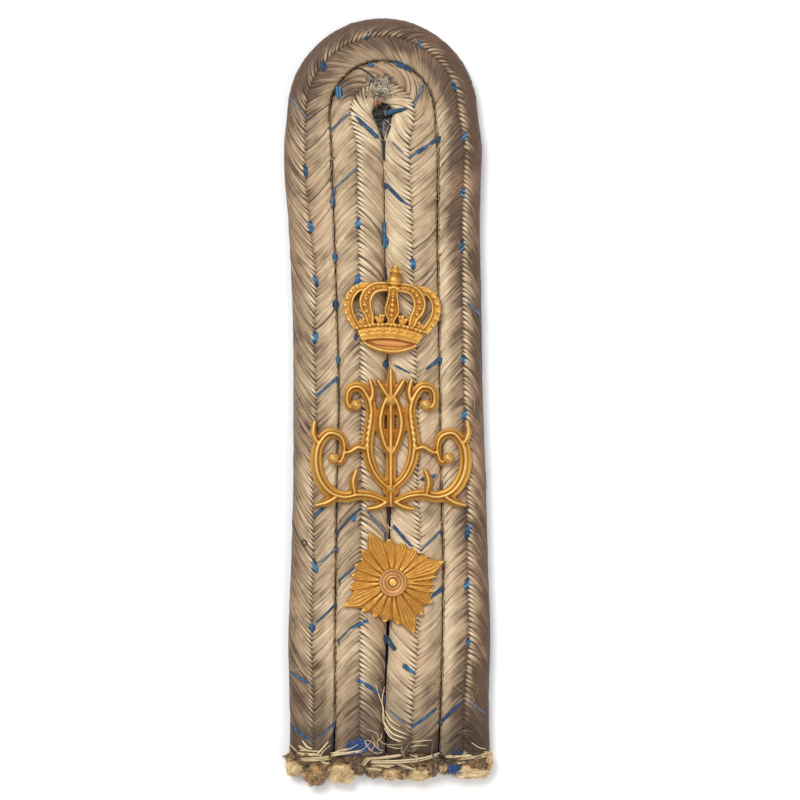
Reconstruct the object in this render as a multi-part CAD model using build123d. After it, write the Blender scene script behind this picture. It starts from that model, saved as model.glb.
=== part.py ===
"""Shoulder board of a dress uniform: two flat padded braid cords laid side by side as a double U on a
wool underlay, with a buttonhole at the round head, a raw cut end where the cotton filling stands out,
and three gilt badges pinned on: a crown, a scrollwork ornament and a four-pointed rank star.

Units are millimetres. +Y runs from the cut end to the round head and +Z is the face of the board. The
shapes are laid out from the cut end, at y = 0, and from the line where the middle seam mostly runs, at
x = 0. At the end the whole board moves, so that the origin is under its middle, where it lies.
"""

from build123d import *
from collections import namedtuple
import math
import os

# Overall sizes of the board
board_length = 121.9          # braid, from the cut end to the top of the head
filling_reach = 5.0           # how far the longest tuft of filling stands out of the cut end
leg_half_width = 16.5         # the legs swell and narrow about this, as LEG_ROWS says
leg_seam = 8.75               # the seams between the cords lie about this far from the middle
head_radius = 15.8            # outer edge of the outer cord round the head
head_seam_radius = 8.65       # seam between the two cords round the head
head_shift = -0.85            # the head leans to one side of the middle line

# Buttonhole, a teardrop that starts at the centre of the head
hole_radius = 1.75
hole_tail = 4.9               # from the centre of its round end down to its foot
hole_foot_radius = 0.35
cloth_cutback = 0.85          # how far the underlay is cut back round the buttonhole, out of a shank's way

# Braid cords
cord_thickness = 3.2
cord_edge_height = 1.1
spine_crease = 0.25           # how deep the middle line of a cord lies below its two lobes
seam_gap = 0.2                # clear width between neighbouring cords

# Underlay cloth
underlay_thickness = 1.0
underlay_margin = 0.7         # how far its edge stays inside the edge of the cords

# Filling
filling_root = 0.9            # length of the evenly packed part at the cut end
filling_floor = 0.15          # how far the tufts stay above the surface that the board lies on

# Badges
badge_clearance = 0.06        # between the braid and the back of a badge
pin_radius = 0.45
pin_clearance = 0.15
pin_floor = 0.2               # how far a pin stops above the surface under the board

crown_half_width = 8.1
crown_height = 14.9
crown_thickness = 2.3
crown_place = (0.75, 73.45)
crown_turn = -4.0             # degrees, anticlockwise
pearl_radius = 0.42

scroll_half_width = 13.5
scroll_height = 24.6
scroll_thickness = 1.75
scroll_place = (0.55, 52.3)

star_radius = 9.0             # to its four points
star_thickness = 1.15         # at the foot of the boss
star_rim_thickness = 0.5
star_groove = 0.28            # depth of the grooves between the rays, at the rim
star_notch = 0.5              # how far the grooves' ends lie inside the square
star_rays = 4                 # between two points
star_point_spread = 9.0       # degrees from a point to the first groove beside it
star_place = (0.9, 28.48)
star_turn = 24.0              # degrees, anticlockwise
boss_radius = 2.4
boss_thickness = 0.85         # above the plate of the star

# Places worked out from those sizes
head_y = board_length - head_radius
leg_length = head_y - hole_tail           # up to the foot of the buttonhole
cord_top = underlay_thickness + cord_thickness
badge_floor = cord_top + badge_clearance

# Outline of the legs. "along" is a share of leg_length, from the cut end up. The outer columns are shares
# of leg_half_width, the seam columns and the middle seam's sideways place shares of leg_seam, and "open"
# is how many times seam_gap the middle seam gapes.
LegRow = namedtuple("LegRow", "along outer_left seam_left middle open seam_right outer_right")
LEG_ROWS = (
    LegRow(0.000, 0.993, 1.002, -0.038, 1.0, 0.975, 1.028),
    LegRow(0.088, 0.988, 0.993, -0.047, 1.5, 1.013, 1.018),
    LegRow(0.187, 0.998, 0.993, 0.000, 3.0, 1.041, 1.033),
    LegRow(0.317, 0.968, 0.975, 0.029, 1.5, 1.050, 1.008),
    LegRow(0.449, 0.948, 0.955, 0.047, 2.0, 1.013, 0.988),
    LegRow(0.579, 0.948, 0.918, 0.029, 1.5, 0.993, 0.958),
    LegRow(0.677, 0.948, 0.937, -0.009, 1.0, 0.975, 0.948),
    LegRow(0.776, 0.968, 0.975, -0.038, 1.0, 0.955, 0.938),
    LegRow(0.874, 0.998, 1.013, -0.057, 1.0, 0.946, 0.928),
    LegRow(0.939, 1.033, 1.041, -0.066, 1.0, 0.955, 0.938),
    LegRow(1.000, 1.039, 1.060, -0.086, 1.0, 0.946, 0.945),
)
HEAD_STATIONS = 9             # sections round the head, from springing point to springing point
LOBE_PLACE = 0.29             # top of each lobe from its edge of the cord, as a share of the cord's width

# Lumps of cotton at the end of each leg. "across" is the lump's middle and "half_width" its size sideways, as
# shares of the cord's width, "reach" how far it comes out as a share of filling_reach, and "up" and
# "half_height" its middle and its size upwards, as shares of the cord's thickness.
Lump = namedtuple("Lump", "across half_width reach up half_height")
TUFTS = {
    "outer_left": (Lump(0.22, 0.26, 0.62, 0.42, 0.42), Lump(0.44, 0.28, 0.84, 0.36, 0.46),
                   Lump(0.62, 0.24, 1.00, 0.30, 0.42), Lump(0.78, 0.24, 0.70, 0.46, 0.42)),
    "inner_left": (Lump(0.22, 0.26, 0.80, 0.40, 0.42), Lump(0.42, 0.30, 0.94, 0.34, 0.46),
                   Lump(0.63, 0.26, 0.60, 0.48, 0.42), Lump(0.79, 0.23, 0.76, 0.32, 0.40)),
    "inner_right": (Lump(0.21, 0.25, 0.66, 0.46, 0.40), Lump(0.42, 0.30, 0.84, 0.34, 0.44),
                    Lump(0.65, 0.28, 0.80, 0.42, 0.44), Lump(0.80, 0.23, 0.66, 0.34, 0.40)),
    "outer_right": (Lump(0.21, 0.25, 0.64, 0.36, 0.40), Lump(0.42, 0.30, 0.80, 0.40, 0.46),
                    Lump(0.66, 0.28, 0.74, 0.34, 0.44), Lump(0.80, 0.23, 0.66, 0.48, 0.40)),
}
ROOT_WIDTH, ROOT_HEIGHT = 0.88, 0.62   # the packed part, as shares of the cord's width and thickness

# A stroke is a ribbon of metal through these spots. "across" is a share of the badge's half width and "up"
# a share of its height, both from its middle, and "half_width" is also a share of the badge's half width.
Spot = namedtuple("Spot", "across up half_width")
CROWN_STROKES = {
    "outer arch": (Spot(0.50, 0.235, 0.070), Spot(0.68, 0.222, 0.080), Spot(0.82, 0.165, 0.088),
                   Spot(0.895, 0.070, 0.095), Spot(0.880, -0.020, 0.095), Spot(0.80, -0.115, 0.088),
                   Spot(0.69, -0.215, 0.080)),
    "second arch": (Spot(0.00, 0.250, 0.080), Spot(0.22, 0.262, 0.090), Spot(0.45, 0.228, 0.108),
                    Spot(0.565, 0.150, 0.125), Spot(0.585, 0.080, 0.130), Spot(0.535, 0.005, 0.112),
                    Spot(0.445, -0.080, 0.070), Spot(0.430, -0.160, 0.055)),
    "middle arch": (Spot(0.0, 0.240, 0.090), Spot(0.0, 0.130, 0.120), Spot(0.0, 0.030, 0.160),
                    Spot(0.0, -0.060, 0.110), Spot(0.0, -0.160, 0.060)),
    "leaf": (Spot(0.235, -0.060, 0.040), Spot(0.235, -0.175, 0.075)),
    "side leaf": (Spot(0.585, -0.120, 0.040), Spot(0.560, -0.215, 0.065)),
    "band roll": (Spot(0.0, -0.178, 0.040), Spot(0.35, -0.191, 0.040), Spot(0.69, -0.232, 0.036)),
}
CROWN_LEVELS = {"outer arch": 0.55, "second arch": 0.80, "middle arch": 0.92, "leaf": 0.60, "side leaf": 0.50,
                "band roll": 0.86}
PLATE_SHARE = 0.70            # height of a stroke's flat part, as a share of its ridge
RIDGE_SHARE = 0.50            # half width of a stroke's ridge, as a share of its own
Bead = namedtuple("Bead", "across up")
PEARLS = {
    "outer arch": (Bead(0.72, 0.208), Bead(0.82, 0.162), Bead(0.885, 0.105), Bead(0.90, 0.045),
                   Bead(0.875, -0.015), Bead(0.83, -0.072), Bead(0.77, -0.130)),
    "second arch": (Bead(0.28, 0.258), Bead(0.41, 0.240), Bead(0.515, 0.200), Bead(0.575, 0.145),
                    Bead(0.590, 0.085), Bead(0.560, 0.030), Bead(0.50, -0.020)),
    "middle arch": (Bead(0.0, 0.140), Bead(0.0, 0.090), Bead(0.0, 0.035), Bead(0.0, -0.020)),
}
band_top_middle, band_top_end = -0.158, -0.215      # shares of the crown's height
band_foot_end, band_foot_middle = -0.385, -0.494
band_half_top, band_half_foot = 0.715, 0.540        # shares of the crown's half width
band_level, rim_level, mouth_depth = 0.72, 0.84, 0.42   # shares of the crown's thickness
mouth_up, mouth_half_height, mouth_half_width = -0.393, 0.058, 0.455
orb_up, orb_radius = 0.327, 0.140
bud_up, bud_length, bud_radius = 0.372, 0.112, 0.130
bud_neck = 0.60               # its thin end, as a share of bud_radius
CROWN_PINS = (Bead(0.0, -0.24), Bead(0.0, 0.235))

SCROLL_STROKES = {
    "stem": (Spot(0.0, -0.460, 0.040), Spot(0.0, -0.300, 0.062), Spot(0.0, -0.120, 0.056),
             Spot(0.0, 0.060, 0.044), Spot(0.0, 0.260, 0.050)),
    "top leaf": (Spot(0.0, 0.250, 0.060), Spot(0.0, 0.360, 0.062), Spot(0.0, 0.465, 0.036)),
    "side leaf": (Spot(0.020, 0.265, 0.045), Spot(0.100, 0.335, 0.052), Spot(0.165, 0.395, 0.034)),
    "lyre arm": (Spot(0.035, -0.330, 0.055), Spot(0.150, -0.270, 0.060), Spot(0.255, -0.160, 0.066),
                 Spot(0.285, -0.030, 0.070), Spot(0.255, 0.090, 0.068), Spot(0.240, 0.190, 0.066),
                 Spot(0.290, 0.285, 0.064), Spot(0.385, 0.345, 0.062), Spot(0.490, 0.335, 0.058),
                 Spot(0.535, 0.265, 0.052), Spot(0.490, 0.205, 0.046), Spot(0.425, 0.225, 0.062)),
    "volute": (Spot(0.060, -0.425, 0.045), Spot(0.260, -0.385, 0.062), Spot(0.400, -0.380, 0.068),
               Spot(0.560, -0.395, 0.070), Spot(0.720, -0.370, 0.072), Spot(0.860, -0.280, 0.072),
               Spot(0.915, -0.150, 0.070), Spot(0.870, -0.030, 0.066), Spot(0.750, 0.035, 0.062),
               Spot(0.620, 0.015, 0.056), Spot(0.570, -0.085, 0.050), Spot(0.630, -0.160, 0.046),
               Spot(0.705, -0.135, 0.060)),
    "inner leaf": (Spot(0.000, -0.120, 0.048), Spot(0.085, -0.020, 0.052), Spot(0.130, 0.100, 0.052),
                   Spot(0.095, 0.210, 0.046), Spot(0.035, 0.290, 0.040)),
    "link": (Spot(0.275, -0.080, 0.046), Spot(0.400, -0.060, 0.050), Spot(0.500, -0.090, 0.044),
             Spot(0.575, -0.100, 0.040)),
    "corner leaf": (Spot(0.640, -0.385, 0.050), Spot(0.790, -0.432, 0.054), Spot(0.925, -0.452, 0.026)),
    "outer leaf": (Spot(0.875, -0.050, 0.045), Spot(0.945, 0.030, 0.044), Spot(0.930, 0.120, 0.022)),
    "volute leaf": (Spot(0.440, -0.370, 0.046), Spot(0.462, -0.290, 0.050), Spot(0.415, -0.205, 0.024)),
    "crest leaf": (Spot(0.265, 0.215, 0.045), Spot(0.222, 0.310, 0.046), Spot(0.258, 0.400, 0.024)),
    "foot leaf": (Spot(0.040, -0.425, 0.045), Spot(0.170, -0.462, 0.046), Spot(0.300, -0.474, 0.024)),
}
SCROLL_BEADS = (Bead(0.285, -0.010), Bead(0.276, 0.032), Bead(0.264, 0.072), Bead(0.254, 0.112),
                Bead(0.246, 0.152))
SCROLL_KNOBS = (Bead(0.425, 0.225), Bead(0.705, -0.135))
COLLARS = (Bead(0.0, -0.340), Bead(0.0, 0.245))
scroll_plate_share = 0.60     # height of the flat part, as a share of scroll_thickness
scroll_bead_share = 0.85      # height of the middles of the beads, as a share of scroll_thickness
bead_share, knob_share, collar_share = 0.048, 0.078, 0.110   # radii, as shares of the half width
SCROLL_PINS = (Bead(0.0, -0.30), Bead(0.0, 0.20))

# Profile of the boss from its rim to its middle, as shares of boss_radius and boss_thickness
BossStep = namedtuple("BossStep", "out up")
BOSS_STEPS = (BossStep(1.00, 0.35), BossStep(0.90, 0.80), BossStep(0.78, 0.80), BossStep(0.66, 0.50),
              BossStep(0.58, 0.50), BossStep(0.50, 0.72), BossStep(0.38, 0.72), BossStep(0.32, 0.55),
              BossStep(0.27, 0.55), BossStep(0.18, 1.00))
star_bed_share = 0.90         # flat top under the boss, as a share of boss_radius


def leg_edges(side):
    """Rows of (height, outer edge, seam, middle edge) along one leg, from the cut end up."""
    sign = -1 if side == "left" else 1
    rows = []
    for row in LEG_ROWS:
        outer = sign * getattr(row, "outer_" + side) * leg_half_width
        seam = sign * getattr(row, "seam_" + side) * leg_seam
        middle = row.middle * leg_seam + sign * row.open * seam_gap / 2
        rows.append((row.along * leg_length, outer, seam, middle))
    return rows


def head_points(radius):
    """Points round the head from its left springing point to its right one."""
    angles = [math.pi * (1 - k / (HEAD_STATIONS - 1)) for k in range(HEAD_STATIONS)]
    return [(head_shift + radius * math.cos(a), head_y + radius * math.sin(a)) for a in angles]


def cord_edges(name):
    """Pairs of edge points along a whole cord: up its left leg, round the head and down its right leg."""
    half_gap = seam_gap / 2
    left, right = leg_edges("left"), leg_edges("right")
    if name == "outer":
        head = zip(head_points(head_radius), head_points(head_seam_radius + half_gap))
        up = [((outer, y), (seam - half_gap, y)) for y, outer, seam, _ in left]
        down = [((outer, y), (seam + half_gap, y)) for y, outer, seam, _ in reversed(right)]
    else:
        head = zip(head_points(head_seam_radius - half_gap), head_points(hole_radius))
        up = [((seam + half_gap, y), (middle, y)) for y, _, seam, middle in left]
        down = [((seam - half_gap, y), (middle, y)) for y, _, seam, middle in reversed(right)]
    return up + list(head) + down


def cord_section(first, second):
    """Section across a cord between its two edge points: a flat foot, two lobes and a crease between."""
    foot = Vector(*first, underlay_thickness)
    across = Vector(*second, underlay_thickness) - foot

    def at(share, height):
        return foot + across * share + Vector(0, 0, height)

    spine = at(0.5, cord_thickness - spine_crease)
    first_lobe, second_lobe = at(LOBE_PLACE, cord_thickness), at(1 - LOBE_PLACE, cord_thickness)
    return Face(Wire([
        Edge.make_line(at(1, 0), at(0, 0)),
        Edge.make_line(at(0, 0), at(0, cord_edge_height)),
        Edge.make_tangent_arc(first_lobe, -across, at(0, cord_edge_height)),
        Edge.make_tangent_arc(first_lobe, across, spine),
        Edge.make_tangent_arc(second_lobe, -across, spine),
        Edge.make_tangent_arc(second_lobe, across, at(1, cord_edge_height)),
        Edge.make_line(at(1, cord_edge_height), at(1, 0)),
    ]))


def badge_spot(bead, place, half_width, height, turn=0.0):
    """Where a bead or pin of a badge lies on the board."""
    spot = Vector(bead.across * half_width, bead.up * height).rotate(Axis.Z, turn)
    return Vector(*place) + spot


def pin_spots():
    """Where the pins of all badges go through the board."""
    crown = [badge_spot(b, crown_place, crown_half_width, crown_height, crown_turn) for b in CROWN_PINS]
    scroll = [badge_spot(b, scroll_place, scroll_half_width, scroll_height) for b in SCROLL_PINS]
    return crown + scroll + [Vector(*star_place)]


def pin_holes():
    """Holes for all pins, through the inner cord and the underlay."""
    hole = Cylinder(pin_radius + pin_clearance, 2 * cord_top)
    return [Pos(spot.X, spot.Y, cord_top / 2) * hole for spot in pin_spots()]


def pin(x, y, top):
    """Straight pin of a badge, from its back down into the underlay. Heights count from the badge's back."""
    length = top + badge_floor - pin_floor
    return Pos(x, y, top - length / 2) * Cylinder(pin_radius, length)


def cord(name):
    """One padded braid cord, lofted through its sections."""
    return loft([cord_section(*pair) for pair in cord_edges(name)])


def buttonhole(cutback):
    """Teardrop of the buttonhole as a flat shape, wider all round by the cutback."""
    top = Pos(head_shift, head_y) * Circle(hole_radius + cutback)
    foot_x = LEG_ROWS[-1].middle * leg_seam
    foot = Pos(foot_x, head_y - hole_tail + hole_foot_radius) * Circle(hole_foot_radius + cutback)
    return make_hull(top.edges() + foot.edges())


def underlay():
    """Wool cloth under the cords, with the buttonhole and the pin holes cut through."""
    left = [(outer + underlay_margin, y) for y, outer, _, _ in leg_edges("left")]
    right = [(outer - underlay_margin, y) for y, outer, _, _ in reversed(leg_edges("right"))]
    radius = head_radius - underlay_margin
    head = CenterArc((head_shift, head_y), radius, 0, 180)
    sides = [Spline([*left, head @ 1]), Spline([head @ 0, *right]), Line(right[-1], left[0])]
    cloth = extrude(make_face([head, *sides]), underlay_thickness)
    slot = Pos(0, 0, -underlay_thickness) * extrude(buttonhole(cloth_cutback), 3 * underlay_thickness)
    return cloth.cut(slot, *pin_holes())


def filling(leg):
    """Tuft of cotton filling that stands out of the cut end of one leg."""
    layer, side = leg.split("_")
    first, second = cord_edges(layer)[0 if side == "left" else -1]
    low, high = sorted((first[0], second[0]))
    width = high - low
    middle_height = underlay_thickness + cord_thickness / 2
    root_size = (ROOT_WIDTH * width, filling_root, ROOT_HEIGHT * cord_thickness)
    root = Pos((low + high) / 2, -filling_root / 2, middle_height) * Box(*root_size)
    lumps = []
    for lump in TUFTS[leg]:
        height = lump.half_height * cord_thickness
        x = low + lump.across * width
        z = max(height + filling_floor, underlay_thickness + lump.up * cord_thickness)
        size = (lump.half_width * width, lump.reach * filling_reach, height)
        lumps.append(Pos(x, 0, z) * scale(Sphere(1), by=size))
    room = Box(width, 2 * filling_reach, 3 * cord_thickness, align=(Align.CENTER, Align.MAX, Align.CENTER))
    return root.fuse(*lumps) & Pos((low + high) / 2, 0, middle_height) * room


def stroke(spots, half_width, height, mirrored=False, share=1.0):
    """Flat ribbon with round ends along a smooth line through the spots, as wide as they say."""
    sign = -1 if mirrored else 1
    middle = [Vector(sign * s.across * half_width, s.up * height) for s in spots]
    line = Spline(middle) if len(middle) > 2 else Line(*middle)
    tangents = [line.tangent_at(line.param_at_point(point)) for point in middle]
    widths = [s.half_width * half_width * share for s in spots]
    left = [p + Vector(-t.Y, t.X) * w for p, t, w in zip(middle, tangents, widths)]
    right = [p - Vector(-t.Y, t.X) * w for p, t, w in zip(middle, tangents, widths)]
    start = ThreePointArc(right[0], middle[0] - tangents[0] * widths[0], left[0])
    end = ThreePointArc(left[-1], middle[-1] + tangents[-1] * widths[-1], right[-1])
    return make_face([start, Spline(left), end, Spline(right)])


def mirrored_sides(spots):
    """A stroke on the middle line is made once, and any other once on each side."""
    return (False,) if all(spot.across == 0 for spot in spots) else (False, True)


def relief(strokes, half_width, height, levels, plate_share):
    """Cast strokes: flat ribbons, each with a narrower ridge along it."""
    solids = []
    for name, spots in strokes.items():
        for side in mirrored_sides(spots):
            plate = stroke(spots, half_width, height, side)
            ridge = stroke(spots, half_width, height, side, RIDGE_SHARE)
            solids.append(extrude(plate, plate_share * levels[name]))
            solids.append(extrude(ridge, levels[name]))
    return solids


def beads(spots, half_width, height, radius, level):
    """Balls on both sides of a badge, half sunk at one level."""
    signs = {1 if spot.across == 0 else sign for spot in spots for sign in (1, -1)}
    return [Pos(sign * spot.across * half_width, spot.up * height, level) * Sphere(radius)
            for spot in spots for sign in sorted(signs)]


def crown_band():
    """Curved band at the foot of the crown, with the oval mouth sunk into it."""
    w, h = crown_half_width, crown_height
    top = ThreePointArc((-band_half_top * w, band_top_end * h), (0, band_top_middle * h),
                        (band_half_top * w, band_top_end * h))
    foot = ThreePointArc((band_half_foot * w, band_foot_end * h), (0, band_foot_middle * h),
                         (-band_half_foot * w, band_foot_end * h))
    outline = make_face([top, Line(top @ 1, foot @ 0), foot, Line(foot @ 1, top @ 0)])
    rim = Pos(0, mouth_up * h) * Ellipse(band_half_foot * w, (mouth_up - band_foot_middle) * h)
    level, rim_top = band_level * crown_thickness, rim_level * crown_thickness
    mouth = Pos(0, mouth_up * h, rim_top) * Ellipse(mouth_half_width * w, mouth_half_height * h)
    band = extrude(outline, level) + extrude(rim, rim_top)
    return band - extrude(mouth, -mouth_depth * crown_thickness)


def crown_badge():
    """Crown with five beaded arches, a band, an orb and a bud on top."""
    w, h = crown_half_width, crown_height
    levels = {name: share * crown_thickness for name, share in CROWN_LEVELS.items()}
    solids = relief(CROWN_STROKES, w, h, levels, PLATE_SHARE)
    for name, spots in PEARLS.items():
        solids += beads(spots, w, h, pearl_radius, levels[name])
    orb = orb_radius * w
    bud = bud_radius * w
    solids.append(Pos(0, orb_up * h, orb) * Sphere(orb))
    solids.append(Pos(0, (bud_up + bud_length / 2) * h, orb) * Rot(X=-90)
                  * Cone(bud_neck * bud, bud, bud_length * h))
    for spot in CROWN_PINS:
        solids.append(pin(spot.across * w, spot.up * h, PLATE_SHARE * levels["middle arch"] / 2))
    crown = crown_band().fuse(*solids)
    return Pos(*crown_place, badge_floor) * Rot(Z=crown_turn) * crown


def scroll_badge():
    """Pierced scrollwork ornament: a leafy stem between two lyre arms and two large leafy volutes."""
    w, h = scroll_half_width, scroll_height
    levels = dict.fromkeys(SCROLL_STROKES, scroll_thickness)
    solids = relief(SCROLL_STROKES, w, h, levels, scroll_plate_share)
    level = scroll_plate_share * scroll_thickness
    solids += beads(SCROLL_BEADS, w, h, bead_share * w, scroll_bead_share * scroll_thickness)
    solids += beads(SCROLL_KNOBS, w, h, knob_share * w, level)
    for spot in COLLARS:
        solids.append(Pos(0, spot.up * h, scroll_thickness / 2)
                      * Cylinder(collar_share * w, scroll_thickness))
    for spot in SCROLL_PINS:
        solids.append(pin(spot.across * w, spot.up * h, level / 2))
    badge = solids[0].fuse(*solids[1:])
    return Pos(*scroll_place, badge_floor) * badge


def star_rim_radius(angle):
    """How far the side of the star's square lies from its middle, in a direction given in degrees."""
    from_side = angle % 90 - 45
    return star_radius * math.cos(math.radians(45)) / math.cos(math.radians(from_side))


def star_rim():
    """Points of the rim in turn, each as (angle, radius, height): ray ends and groove ends."""
    spread = star_point_spread
    step = (90 - 2 * spread) / star_rays
    points = []
    for corner in range(4):
        start = 90 * corner
        points.append((start, star_radius, star_rim_thickness))
        for ray in range(star_rays + 1):
            groove = start + spread + ray * step
            points.append((groove, star_rim_radius(groove) - star_notch, star_rim_thickness - star_groove))
            if ray < star_rays:
                tip = groove + step / 2
                points.append((tip, star_rim_radius(tip), star_rim_thickness))
    return points


def rank_star():
    """Four-pointed star of ridged rays, with a bore for the boss."""
    rim, bed, foot = [], [], []
    bed_radius = star_bed_share * boss_radius
    for angle, radius, height in star_rim():
        out = Vector(1, 0).rotate(Axis.Z, angle)
        rim.append(out * radius + Vector(0, 0, height))
        foot.append(out * radius)
        bed.append(out * bed_radius + Vector(0, 0, star_thickness))
    faces = [Face(Wire.make_polygon(bed)), Face(Wire.make_polygon(foot))]
    for k in range(len(rim)):
        n = (k + 1) % len(rim)
        faces.append(Face(Wire.make_polygon([bed[k], rim[k], rim[n]])))
        faces.append(Face(Wire.make_polygon([bed[k], rim[n], bed[n]])))
        faces.append(Face(Wire.make_polygon([rim[k], foot[k], foot[n], rim[n]])))
    plate = Solid(Shell(faces))
    bore = Cylinder(pin_radius + pin_clearance, 4 * star_thickness)
    return Pos(*star_place, badge_floor) * Rot(Z=star_turn) * (plate - bore)


def star_boss():
    """Ringed boss in the middle of the star, with the pin that holds both."""
    profile = [(step.out * boss_radius, step.up * boss_thickness) for step in BOSS_STEPS]
    outline = [(0, 0), (boss_radius, 0), *profile, (0, profile[-1][1])]
    boss = revolve(Plane.XZ * make_face(Polyline(outline, close=True)), Axis.Z)
    boss = Pos(0, 0, star_thickness) * boss + pin(0, 0, star_thickness)
    return Pos(*star_place, badge_floor) * boss


def all_parts():
    """Every piece by its name, laid out from the cut end."""
    parts = {
        "underlay": underlay(),
        "outer_cord": cord("outer"),
        "inner_cord": cord("inner").cut(*pin_holes()),
        "crown_badge": crown_badge(),
        "scroll_badge": scroll_badge(),
        "rank_star": rank_star(),
        "star_boss": star_boss(),
    }
    for leg in TUFTS:
        parts["filling_" + leg] = filling(leg)
    return parts


parts = all_parts()
box = Compound(children=[Pos() * part for part in parts.values()]).bounding_box()
settle = Pos(-box.center().X, -box.center().Y, 0)
os.makedirs("parts", exist_ok=True)
for name, part in parts.items():
    export_step(settle * part, f"parts/{name}.step")
    print(name, "solids:", len(part.solids()))
print("size", box.size, "moved by", settle.position)
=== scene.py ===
"""Looks of an old shoulder board: braid cords, cloth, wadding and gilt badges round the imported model.

All sizes are metres in the model's own frame: +Y runs from the cut end to the round head, +Z is the face.
Tables give places in millimetres, and Board.mm turns them into metres.
"""

from __future__ import annotations
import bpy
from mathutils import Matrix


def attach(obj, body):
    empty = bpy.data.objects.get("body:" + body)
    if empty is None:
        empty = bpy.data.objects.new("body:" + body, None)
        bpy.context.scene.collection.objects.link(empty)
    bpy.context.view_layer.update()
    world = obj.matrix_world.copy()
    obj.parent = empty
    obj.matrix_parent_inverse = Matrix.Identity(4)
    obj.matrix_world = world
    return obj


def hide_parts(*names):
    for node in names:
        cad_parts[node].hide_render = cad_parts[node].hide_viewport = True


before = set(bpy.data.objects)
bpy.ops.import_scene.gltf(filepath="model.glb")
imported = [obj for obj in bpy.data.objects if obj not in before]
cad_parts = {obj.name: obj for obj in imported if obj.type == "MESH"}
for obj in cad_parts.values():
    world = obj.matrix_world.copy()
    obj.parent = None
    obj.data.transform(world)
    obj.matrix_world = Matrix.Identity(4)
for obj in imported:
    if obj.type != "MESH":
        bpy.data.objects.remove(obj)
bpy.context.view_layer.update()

import logging
import math
from dataclasses import dataclass
from enum import Enum
from typing import Any, NamedTuple, Sequence

import bmesh
import bpy
import numpy as np
from mathutils import Matrix, Vector, noise
from mathutils.bvhtree import BVHTree

log = logging.getLogger("shoulder_board")
MM = 0.001
BODY = "root"
Array, Material, Mesh, Piece = np.ndarray, bpy.types.Material, bpy.types.Mesh, bpy.types.Object
Random = np.random.Generator
Pair, Triple, Table = tuple[float, float], tuple[float, float, float], tuple[tuple[float, ...], ...]


# Shader graph


class Value:
    """A number or colour that varies over a surface: a node's output, usable in Python maths."""

    def __init__(self, graph: Graph, socket: bpy.types.NodeSocket) -> None:
        """Wraps one output socket of a graph."""
        self.graph, self.socket = graph, socket

    def _math(self, operation: str, first: Any, second: Any, clamp: bool = False) -> Value:
        """Adds a Math node for this operation."""
        settings = {"operation": operation, "use_clamp": clamp}
        return self.graph.node("ShaderNodeMath", settings, {0: first, 1: second})

    def __add__(self, other: Any) -> Value:
        """Sum."""
        return self._math("ADD", self, other)

    def __sub__(self, other: Any) -> Value:
        """Difference."""
        return self._math("SUBTRACT", self, other)

    def __rsub__(self, other: Any) -> Value:
        """Difference from a plain number."""
        return self._math("SUBTRACT", other, self)

    def __mul__(self, other: Any) -> Value:
        """Product."""
        return self._math("MULTIPLY", self, other)

    __radd__, __rmul__ = __add__, __mul__

    def clamped(self) -> Value:
        """The same value, kept from 0 to 1."""
        return self._math("ADD", self, 0.0, clamp=True)


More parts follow.
